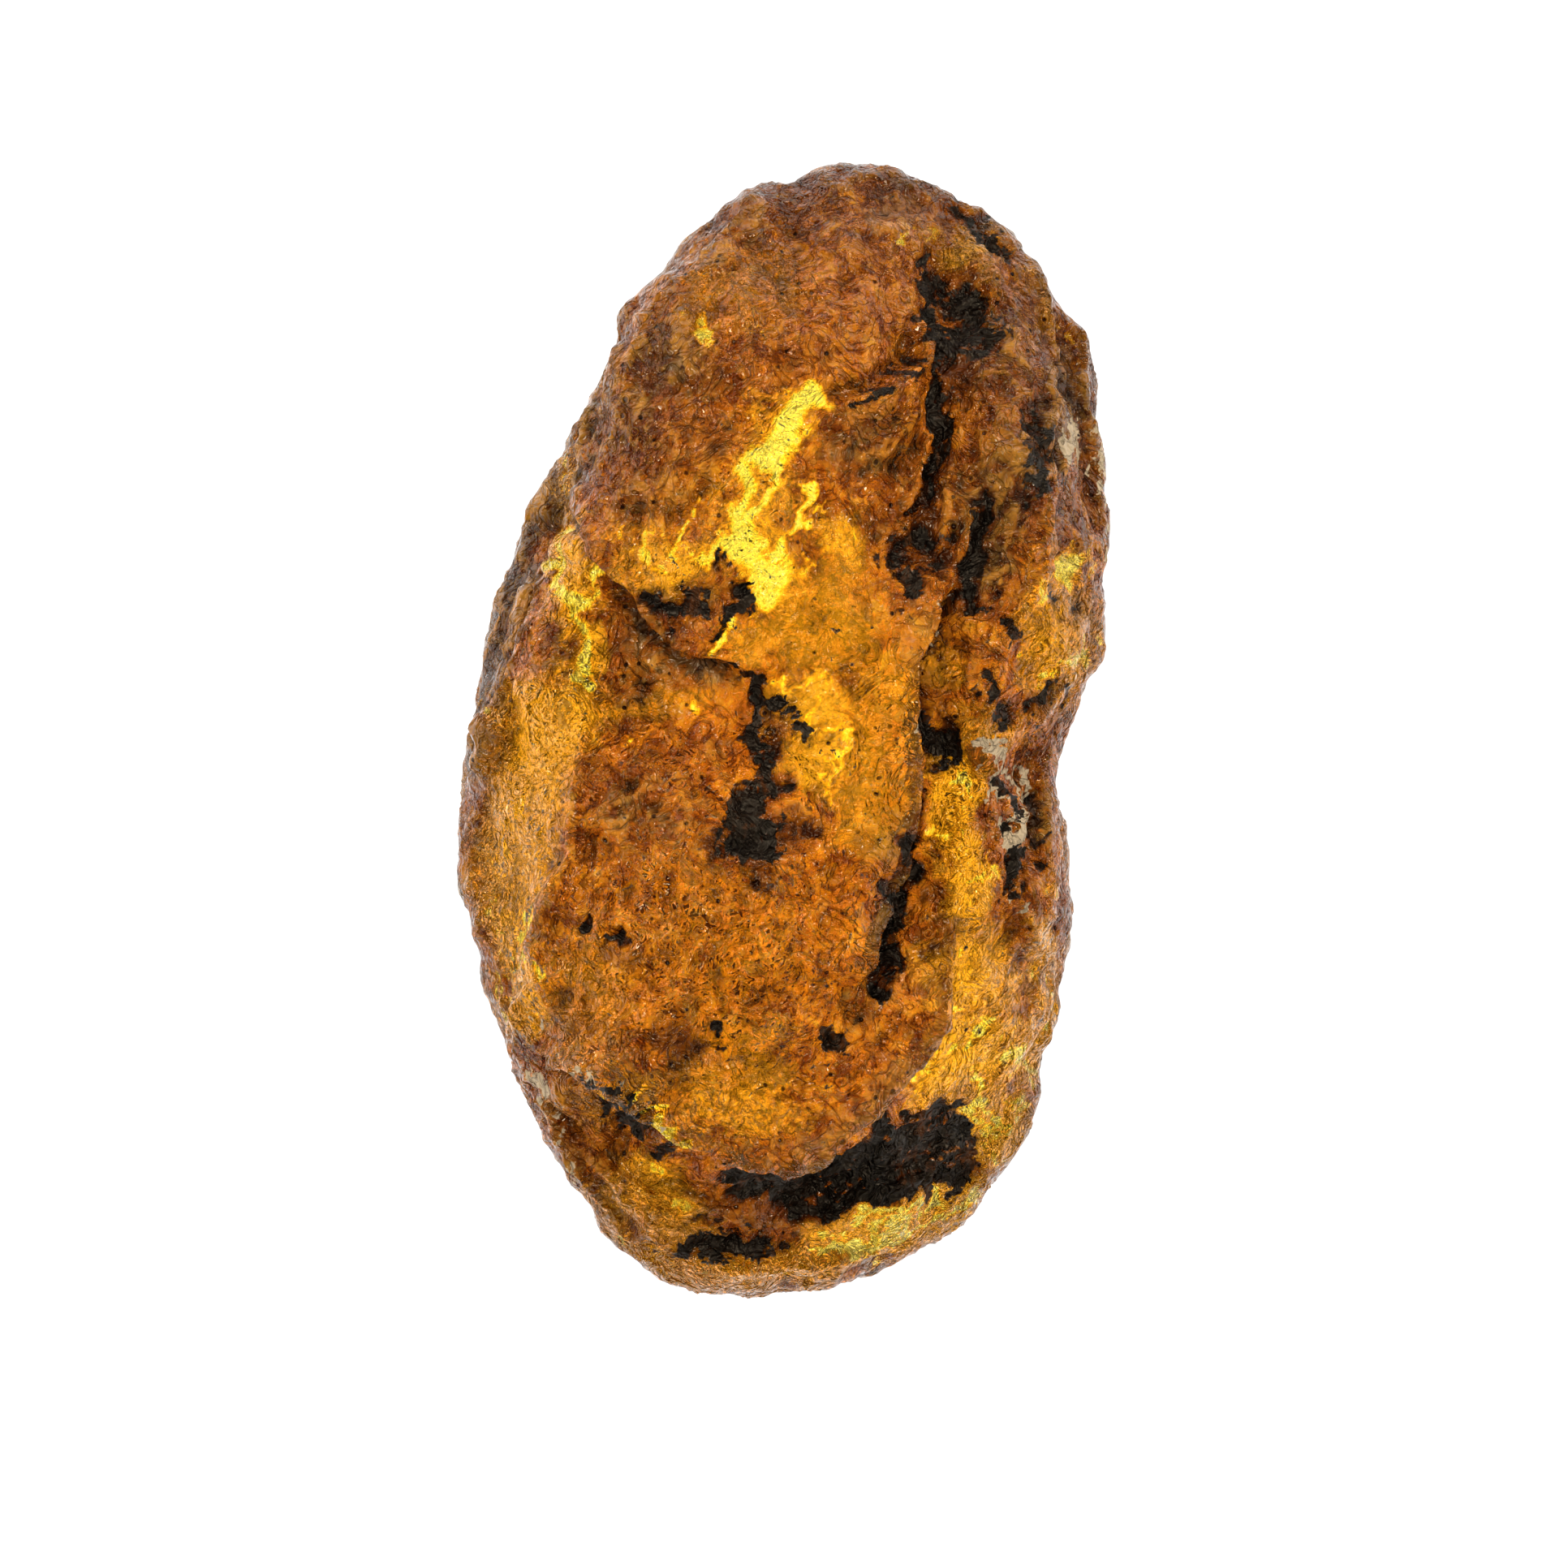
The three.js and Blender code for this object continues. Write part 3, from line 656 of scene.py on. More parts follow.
        Patch((5.3, 22.3), (1.7, 2.6), 0.4),
        Patch((6.2, 27.3), (2.6, 1.1), 0.7),
        Patch((-4.5, 15.4), (3, 1.7), 0.5),
        Stroke(0.86, 0.6, ((-11.4, 1.3), (-12.2, -1.7), (-13.5, -5.6), (-14.4, -9))),
        Stroke(0.6, 0.6, ((-11.4, -1.3), (-11.4, -3.9), (-11.8, -6.9))),
        Stroke(0.69, 0.6, ((1.5, -21.4), (4, -20.1), (5.8, -17.6))),
        Stroke(0.43, 0.5, ((-1.5, -21.9), (1.5, -22.3), (3.2, -21.4))),
        Patch((-7.1, 4), (2.1, 0.6), 0.4),
        Patch((-5.1, -4.3), (2.6, 1.7), 0.4),
        Patch((-4.1, 3.4), (1.7, 0.43), 0.9),
        Stroke(0.34, 0.7, ((8.6, 5.6), (7.9, 4.3), (7.1, 2.1), (6.9, 0.4))),
        Stroke(0.6, 0.5, ((7.1, -16.7), (7.9, -12.9), (8.8, -9.4))),
        Patch((10.1, 0.4), (0.9, 0.69), 0.6),
        Patch((9.2, -4.3), (1.3, 1), 0.4),
        Patch((1.5, 18.4), (2.6, 0.9), 0.4),
        Patch((4, -15.9), (0.9, 1.3), 0.4),
    ),
    Mark.FROST_AND_GLINTS: (
        # painted glints along the long lip and the belly lip
        Stroke(0.13, 0.5, (
            (9.1, 10.5), (8.8, 7.1), (8.2, 5.4), (7.5, 3.8), (7.1, 2.1), (6.9, 0), (7, -2.6), (6.6, -4.5),
            (5.8, -7.7), (5.2, -9.9))),
        Stroke(0.13, 0.5, (
            (-13.5, -15.5), (-10.5, -17.2), (-7.5, -19.4), (-5, -21.5), (-2.8, -22.6), (-0.2, -23))),
        Patch((15.4, 14.7), (0.43, 1.1), 1),
        Patch((15.1, 15.9), (0.3, 0.69), 0.8),
        Patch((11, -0.9), (0.51, 0.69), 0.9),
        Stroke(0.21, 0.95, (
            (10.7, -0.6), (11.1, -2.1), (11.2, -3.4), (11.8, -4.5), (12.3, -5.8), (12.4, -6.9))),
        Stroke(0.17, 0.9, ((11.3, -0.4), (11.8, -1.7), (12.5, -3.2), (12.7, -4.3))),
        Stroke(0.13, 0.6, ((11, -3), (10.8, -4.7), (11, -6))),
        Stroke(0.13, 0.8, ((12.7, -2.6), (12.5, -6))),
        Stroke(0.13, 0.7, ((12.4, -8.6), (12.7, -9.9))),
        Patch((-13.1, -18.2), (0.34, 0.77), 0.7),
        Stroke(0.26, 0.6, ((-12.9, -18.4), (-12.5, -19.3), (-11.8, -20.8))),
        Stroke(0.17, 0.5, ((-11.8, -21), (-11.2, -22.7), (-10.5, -24))),
        Stroke(0.13, 0.7, ((16.6, 17.1), (16.9, 14.6), (17, 11.1), (16.7, 7.7))),
        Stroke(0.13, 0.6, ((13.1, 18.9), (13.4, 17.1), (13.4, 15.4))),
    ),
}

# Lips and folds that stand sharply off the front, each with its half width and height in millimetres.
# A lip has its proud side on its left; a fold is proud on both sides.
LIPS = (
    # the head's lip, from its left shoulder round to the middle
    (0.4, 0.6, ((-6.9, 24.9), (-8.4, 20.1), (-9.8, 15.4), (-10.4, 11.1), (-8.8, 8.4), (-6.9, 5.8), (-5, 4.3),
                (-2.6, 3.6), (-1.4, 1.6))),
    # the head's lower edge over the plateau
    (0.4, 0.9, ((7.4, 22.3), (7.2, 20.1), (6.2, 18.9), (4.9, 18), (3.2, 17.4), (2, 17))),
    # the belly's lip
    (0.45, 1.0, ((-13.3, -17), (-11.4, -17.6), (-9.6, -18.2), (-8, -19.4), (-6.2, -20.8), (-4.4, -21.9),
                 (-2, -22.7), (0.6, -22.7), (2.9, -21.4), (5.8, -18.5), (7.9, -15), (8.8, -11.6))),
    # the long lip beside the middle
    (0.35, 1.0, ((4.1, -14.1), (4.5, -11.7), (5.2, -9.3), (5.9, -6.9), (6.4, -4.7), (6.7, -2.6), (7, 0),
                  (7.1, 2.9), (7.7, 4.7), (8.6, 6.9), (9.3, 9))),
    # where the front turns over to the left flank
    (0.4, 0.8, ((-10.7, 11.1), (-11.8, 9), (-13.4, 3.4), (-15.2, 0.2), (-16.4, -3.1))),
)
FOLDS = (
    (0.35, 0.3, ((8, 17.1), (7.8, 15.4), (7.4, 13.7), (6.8, 11.9), (5.9, 9.6), (5.2, 8.6))),
    (0.4, 0.35, ((-5.7, 26.1), (-7.1, 23.9), (-8.5, 21.3), (-8.8, 19.1))),
    (0.4, 0.35, ((-8.5, 18.4), (-9.6, 15.4), (-10.4, 12.9), (-11.1, 10.9))),
    (0.4, 0.3, ((-10.3, 2.1), (-10.7, -2.6), (-11.2, -6.4), (-12.9, -10.7), (-13.3, -13.1))),
    (0.35, 0.35, ((-13.3, -13.1), (-14, -16.7), (-11.8, -20.7), (-10.9, -23.2), (-8.7, -26))),
    (0.35, 0.4, ((10.3, 13), (9.9, 9.4), (9.2, 6.8))),
    (0.4, 0.35, ((14, 13.3), (14.3, 9.4), (13.1, 6.8), (12, 4.3), (11.4, 2.1))),
    (0.35, 0.35, ((12.3, 25.7), (13.6, 23.5), (14.2, 20.6), (14.3, 17.1), (14, 13.3))),
    (0.35, 0.3, ((15.1, 22.3), (16.1, 18.9), (16.6, 14.6), (16.8, 10.7), (16.5, 7.3))),
    (0.35, 0.3, ((9.2, 14.6), (8.8, 11.1), (7.9, 8.6))),
    (0.35, 0.4, ((10.6, -0.5), (11.5, -2.6), (12.2, -4.3), (12.5, -8.6), (13.9, -12.2))),
    (0.4, 0.3, ((9.6, -2.6), (9.5, -6.9), (9, -10.7), (8.3, -13.7), (6.6, -17.6))),
    (0.4, 0.3, ((14.3, -12.9), (13.7, -16.3), (12.7, -19.3), (11.2, -22.7))),
    (0.35, 0.3, ((-11.8, -21.4), (-8.8, -23.7), (-5, -25.1), (-1.5, -26), (1.9, -26.2), (6.6, -24.4),
                 (10.5, -21.4))),
    (0.35, 0.3, ((-9.7, -25.7), (-5.8, -27.4), (-1.5, -28.5), (2.8, -28.1), (7.1, -26.5), (10.1, -24.4))),
)

# Open pores on the front: their middles and radii in millimetres.
PORES = (
    ((-10.2, -10.4), 0.33), ((-8.8, -10.9), 0.5), ((-4.3, -14.4), 0.2), ((-3.6, -16), 0.33),
    ((-3.2, -16.8), 0.25),
    ((3, -16.8), 0.6), ((4.9, -13.8), 0.65), ((4.7, -1.1), 0.25), ((-10.4, -4.4), 0.3), ((-10, -5.7), 0.32),
    ((-2.6, 24.5), 0.4), ((10.3, 22.6), 0.5), ((7.5, 24.8), 0.35), ((-8, -3), 0.7), ((-6.6, -4), 0.5),
    ((-4.6, -3.4), 0.45), ((-4.2, -16.9), 0.2), ((13.9, -7.1), 0.4), ((13.5, -4.9), 0.5),
)


class Side(Enum):
    """Which side of a line stands proud."""

    LEFT = "left"
    BOTH = "both"


@dataclass
class Relief:
    """The nodule's surface in millimetres, raised along its normals.

    It has lips, strata, wrinkles, pores and crust. Each use of the grain is moved by its own offset, so that
    no two line up.
    """

    front: tuple = (0.02, 0.3)
    crest_gain: float = 1.35
    crest_narrowing: float = 0.8
    lip_crest: float = 0.35
    lip_fall: float = 1.9
    groove_depth: float = 0.45
    groove_shift: float = 1.6
    groove_width: float = 1.3
    end_fade: float = 2.0
    strata: float = 0.05
    strata_pitch: float = 0.62
    strata_reach: float = 4.5
    strata_start: tuple = (0.1, 0.6)
    strata_fade: float = 1.2
    strata_tail: float = 3.0
    sway: float = 0.55
    sway_spacing: float = 3.0
    waver: float = 0.2
    waver_spacing: float = 1.1
    wander: float = 0.3
    wander_spacing: float = 1.8
    wrinkle: float = 0.34
    wrinkle_spacing: float = 1.9
    wrinkle_stretch: tuple = (1.25, 0.8, 1.1)
    wrinkle_bend: tuple = (1.2, 0.7, 0.9)
    bend_spacing: float = 4.0
    calming: float = 0.5
    lump: float = 0.4
    lump_spacing: float = 3.4
    crust_drop: float = 0.35
    crust_grit: float = 0.3
    grit_spacing: float = 0.9
    window_drop: float = 0.2
    pore_depth: float = 0.9
    loose_pores: int = 420
    loose_seed: int = 5
    loose_depth: float = 0.5
    loose_radius: tuple = (0.17, 0.26)
    grain: Grain = field(default_factory=lambda: Grain(11))

    def edge(self, places: Points, width: float, height: float, points: tuple, side: Side) -> Amounts:
        """Raise a lip or a fold along a line.

        Args:
            places: Rows of x, y in millimetres.
            width: The half width of its crest.
            height: How far the crest stands off.
            points: The line.
            side: Which side of the line stays proud.

        Returns:
            How far each place is raised.
        """
        rise = np.zeros(len(places))
        near, across, end = Course(points).measure(places, self.strata_reach)
        height, width = self.crest_gain * height, self.crest_narrowing * width
        crest = np.exp(-((across / width) ** 2))
        if side is Side.LEFT:
            fall = np.exp(-np.maximum(across, 0) / self.lip_fall)
            crest = ease(across, -width, width) * (self.lip_crest * crest + fall)
            groove = (across + self.groove_shift * width) / (self.groove_width * width)
            crest -= self.groove_depth * np.exp(-(groove**2))
        fade = 1.0 - ease(np.abs(across), 0.5 * self.strata_reach, self.strata_reach)
        rise[near] = height * crest * (ease(end, 0.0, self.end_fade) * fade)
        return rise

    def layers(self, places: Points, space: Points, points: tuple) -> Amounts:
        """Rib the proud side of a lip with strata that run along it, fading away from it.

        Args:
            places: Rows of x, y in millimetres.
            space: Rows of x, y, z of the same places.
            points: The lip's line.

        Returns:
            How far each place is raised.
        """
        rise = np.zeros(len(places))
        near, across, end = Course(points).measure(places, self.strata_reach)
        sway = self.sway * self.grain.at(space[near], self.sway_spacing)
        sway += self.waver * self.grain.at(space[near] + 31.0, self.waver_spacing)
        wave = np.sin(2 * math.pi * (across + sway) / self.strata_pitch)
        fade = ease(across, *self.strata_start) * (1.0 - ease(across, self.strata_fade, self.strata_reach))
        rise[near] = self.strata * wave * (fade * ease(end, 0.0, self.strata_tail))
        return rise

    def pores(self, places: Points, normals: Points) -> Amounts:
        """Sink the front's pores, and loose ones all over.

        Args:
            places: Rows of x, y, z in millimetres.
            normals: The surface's unit normals there.

        Returns:
            How far each place is raised, which is below 0 in a pore.
        """
        draw = np.random.default_rng(self.loose_seed)
        chosen = draw.choice(len(places), self.loose_pores, replace=False)
        smallest, more = self.loose_radius
        sizes = smallest + more * draw.random(self.loose_pores) ** 3
        wells = [(places[index], size, self.loose_depth) for index, size in zip(chosen, sizes)]
        facing = normals[:, 2] > 0.2
        flat = seen(places)
        for (x, y), radius in PORES:
            gap = np.where(facing, np.hypot(flat[:, 0] - x, flat[:, 1] - y), np.inf)
            wells.append((places[gap.argmin()], radius, self.pore_depth))
        sink = np.zeros(len(places))
        for middle, radius, depth in wells:
            near = np.nonzero(np.all(np.abs(places - middle) < 2 * radius, axis=1))[0]
            spread = np.linalg.norm(places[near] - middle, axis=1) / radius
            sink[near] = np.maximum(sink[near], depth * radius * (1.0 - ease(spread, 0.3, 1.15)))
        return -sink

    def rise(self, places: Points, normals: Points, marks: dict[Mark, Amounts]) -> Amounts:
        """Add the whole relief up.

        Args:
            places: Rows of x, y, z in millimetres.
            normals: The surface's unit normals there.
            marks: How strongly each mark covers each place.

        Returns:
            How far each place is moved along its normal, in millimetres.
        """
        front = ease(normals[:, 2], *self.front)
        flat = seen(places)
        for axis in range(2):
            flat[:, axis] += self.wander * self.grain.layered(places + 60.0 * axis, self.wander_spacing, 2)
        edges = np.zeros(len(places))
        for lip in LIPS:
            edges += self.edge(flat, *lip, Side.LEFT) + self.layers(flat, places, lip[2])
        for fold in FOLDS:
            edges += self.edge(flat, *fold, Side.BOTH)
        bend = self.grain.at(places, self.bend_spacing)[:, None] * np.array(self.wrinkle_bend)
        veins = self.grain.veins((places + bend) * self.wrinkle_stretch, self.wrinkle_spacing, 2)
        crust, window = marks[Mark.CRUST], marks[Mark.WINDOW]
        calm = 1.0 - self.calming * ease(window, 0.3, 0.8)
        total = front * edges
        total += self.wrinkle * calm * (veins - 0.5)
        total += self.lump * self.grain.layered(places + 50.0, self.lump_spacing, 2)
        grit = self.crust_grit * self.grain.layered(places, self.grit_spacing, 2)
        total += crust * (grit - self.crust_drop)
        total -= self.window_drop * window
        return total + self.pores(places, normals)


def smoothed(places: Points, edges: np.ndarray, passes: int) -> Points:
    """Move each place to the middle of its neighbours.

    Args:
        places: Rows of x, y, z.
        edges: Pairs of neighbouring places' indices.
        passes: How many times they move.

    Returns:
        The moved places.
    """
    count = np.bincount(edges.ravel(), minlength=len(places))[:, None]
    for _ in range(passes):
        total = np.zeros_like(places)
        for near, far in (edges.T, edges.T[::-1]):
            for axis in range(3):
                total[:, axis] += np.bincount(near, places[far, axis], len(places))
        places = total / count
    return places


@dataclass
class Colouring:
    """Spreads the marks over the front, and marks drawn from the same grain over the flanks and the back."""

    front: tuple = (-0.1, 0.2)
    fray: float = 0.75
    fray_spacing: float = 1.4
    fringe: float = 0.6
    fringe_spacing: float = 0.6
    back_stretch: tuple = (1.0, 0.6, 1.0)
    back_spacing: float = 9.0
    back_veil: float = 0.2
    veil_lean: tuple = (-0.95, 0.1)
    veil_fray: float = 0.45
    veil_spacing: float = 5.0
    grain: Grain = field(default_factory=lambda: Grain(3))
    # the grain's values between which each mark comes up on the back
    share: dict = field(default_factory=lambda: {
        Mark.CRUST: (0.62, 0.82), Mark.STAIN: (0.3, 0.8), Mark.WINDOW: (0.2, 0.6), Mark.EMBER: (-0.1, 0.6),
        Mark.HONEY: (-0.3, 0.5), Mark.SMOKE: (0.35, 0.9), Mark.BLOOM: (0.3, 0.9), Mark.FROST_AND_GLINTS: (0.75, 0.95),
    })

    def spread(self, places: Points, normals: Points) -> dict[Mark, Amounts]:
        """Work out how strongly each mark covers each place.

        Args:
            places: Rows of x, y, z in millimetres.
            normals: The surface's unit normals there.

        Returns:
            The amounts by mark, from 0 to 1.
        """
        front = ease(normals[:, 2], *self.front)
        frayed = seen(places)
        for axis in range(2):
            shift = self.grain.at(places + 40.0 * axis, self.fray_spacing)
            shift += self.fringe * self.grain.at(places + 80.0 * axis, self.fringe_spacing)
            frayed[:, axis] += self.fray * shift
        amounts = {}
        for offset, (mark, found) in enumerate(MARKS.items()):
            near = np.max([item.cover(frayed) for item in found], axis=0)
            low, high = self.share[mark]
            drawn = self.grain.layered(places * self.back_stretch + 23.0 * offset, self.back_spacing)
            amounts[mark] = front * near + (1.0 - front) * ease(drawn, low, high)
        lean = normals[:, 2] + self.veil_fray * self.grain.layered(places + 90.0, self.veil_spacing, 3)
        amounts[Mark.VEIL] = self.back_veil + (1.0 - self.back_veil) * ease(lean, *self.veil_lean)
        return amounts


@dataclass(frozen=True)
class Pattern:
    """A noise in the amber: its waves to a millimetre, its finer layers, their strength and its curl."""

    per_mm: float
    detail: float
    rough: float
    curl: float


@dataclass(frozen=True)
class Edge:
    """How a mark's edge is frayed, and the amounts between which it comes up."""

    fray: float
    low: float
    high: float


class Value:
    """A shader socket that Python's operators work on: each one adds a Math node."""

    def __init__(self, graph: "Graph", socket: bpy.types.NodeSocket) -> None:
        """Wrap one output socket of the graph."""
        self.graph = graph
        self.socket = socket

    def combine(self, operation: str, *others: Any) -> "Value":
        """Add a Math node on this value and the others."""
        inputs = dict(enumerate((self, *others)))
        return self.graph.add("ShaderNodeMath", {"operation": operation}, inputs).out()

    def __add__(self, other: Any) -> "Value":
        """Add a value or a number."""
        return self.combine("ADD", other)

    def __sub__(self, other: Any) -> "Value":
        """Take a value or a number away."""
        return self.combine("SUBTRACT", other)

    def __rsub__(self, other: float) -> "Value":
        """Take this value away from a number."""
        return self.graph.add("ShaderNodeMath", {"operation": "SUBTRACT"}, {0: other, 1: self}).out()

    def __mul__(self, other: Any) -> "Value":
        """Multiply by a value or a number."""
        return self.combine("MULTIPLY", other)

    __radd__ = __add__
    __rmul__ = __mul__

    def size(self) -> "Value":
        """Drop the sign."""
        return self.combine("ABSOLUTE")

    def clamped(self) -> "Value":
        """Keep the value from 0 to 1."""
        settings = {"operation": "ADD", "use_clamp": True}
        return self.graph.add("ShaderNodeMath", settings, {0: self, 1: 0.0}).out()

    def eased(self, low: float, high: float) -> "Value":
        """Rise smoothly from 0 at low to 1 at high."""
        settings = {"interpolation_type": "SMOOTHSTEP", "data_type": "FLOAT"}
        return self.graph.add("ShaderNodeMapRange", settings, {"Value": self, 1: low, 2: high}).out()

    def frayed(self, ragged: "Value", edge: Edge) -> "Value":
        """Fray the value's edge and rise smoothly over it."""
        return (self + ragged * edge.fray).eased(edge.low, edge.high)


class Added:
    """A node that was just added, with its outputs as values."""

    def __init__(self, graph: "Graph", node: bpy.types.Node) -> None:
        """Keep the node and its graph."""
        self.graph = graph
        self.node = node

    def out(self, name: str | int = 0) -> Value:
        """Give one of the node's outputs."""
        return Value(self.graph, self.node.outputs[name])


@dataclass
class Graph:
    """A material's node tree, built by expressions."""

    tree: bpy.types.NodeTree

    def add(self, kind: str, settings: dict[str, Any], inputs: dict[str | int, Any]) -> Added:
        """Add a node.

        Args:
            kind: The node's type.
            settings: Its properties, and a ramp's stops as (position, colour) under "stops".
            inputs: The value, colour or link of its sockets, by name or number.

        Returns:
            The node.
        """
        node = self.tree.nodes.new(kind)
        for name, setting in settings.items():
            if name == "stops":
                self.fill_ramp(node.color_ramp, setting)
            else:
                setattr(node, name, setting)
        for name, given in inputs.items():
            if isinstance(given, Value):
                self.tree.links.new(given.socket, node.inputs[name])
            else:
                node.inputs[name].default_value = given
        return Added(self, node)

    @staticmethod
    def fill_ramp(ramp: bpy.types.ColorRamp, stops: tuple) -> None:
        """Set a ramp's stops.

        Args:
            ramp: The ramp.
            stops: Its stops as (position, colour), in order.
        """
        while len(ramp.elements) < len(stops):
            ramp.elements.new(0.5)
        for element, (position, colour) in zip(ramp.elements, stops):
            element.position = position
            element.color = (*colour, 1.0)

    def mark(self, mark: Mark) -> Value:
        """Read a mark's amount from the mesh."""
        return self.add("ShaderNodeAttribute", {"attribute_name": mark.value}, {}).out("Fac")

    def noise(self, place: Value, pattern: Pattern) -> Value:
        """Add a noise texture and give its value.

        Args:
            place: The place in millimetres.
            pattern: The noise's own values.

        Returns:
            A value around 0.5.
        """
        return self.add("ShaderNodeTexNoise", {}, {
            "Vector": place, "Scale": pattern.per_mm, "Detail": pattern.detail, "Roughness": pattern.rough,
            "Distortion": pattern.curl,
        }).out(0)

    def ramp(self, value: Value, stops: tuple) -> Value:
        """Turn a value into a colour."""
        return self.add("ShaderNodeValToRGB", {"stops": stops}, {0: value}).out(0)

    def mix(self, share: Any, first: Any, second: Any) -> Value:
        """Mix two colours.

        Args:
            share: How much of the second is in the mix, from 0 to 1.
            first: A colour or a value.
            second: A colour or a value.

        Returns:
            The mixed colour.
        """
        colours = [(*c, 1.0) if isinstance(c, tuple) else c for c in (first, second)]
        settings = {"data_type": "RGBA", "clamp_factor": True}
        return self.add("ShaderNodeMix", settings, {0: share, 6: colours[0], 7: colours[1]}).out(2)


@dataclass
class Layers:
    """The values that the amber's colours are mixed by, mostly from 0 to 1."""

    speck: Value
    tone: Value
    dot: Value
    ring: Value
    crease: Value
    veil: Value
    veiled: Value
    crust: Value
    window: Value
    shine: Value
    frost_and_glints: Value
    honey: Value
    ember: Value
    smoke: Value
    stain: Value
    painted_sheen: Value
    ridge_highlight: Value
    hollow_shade: Value


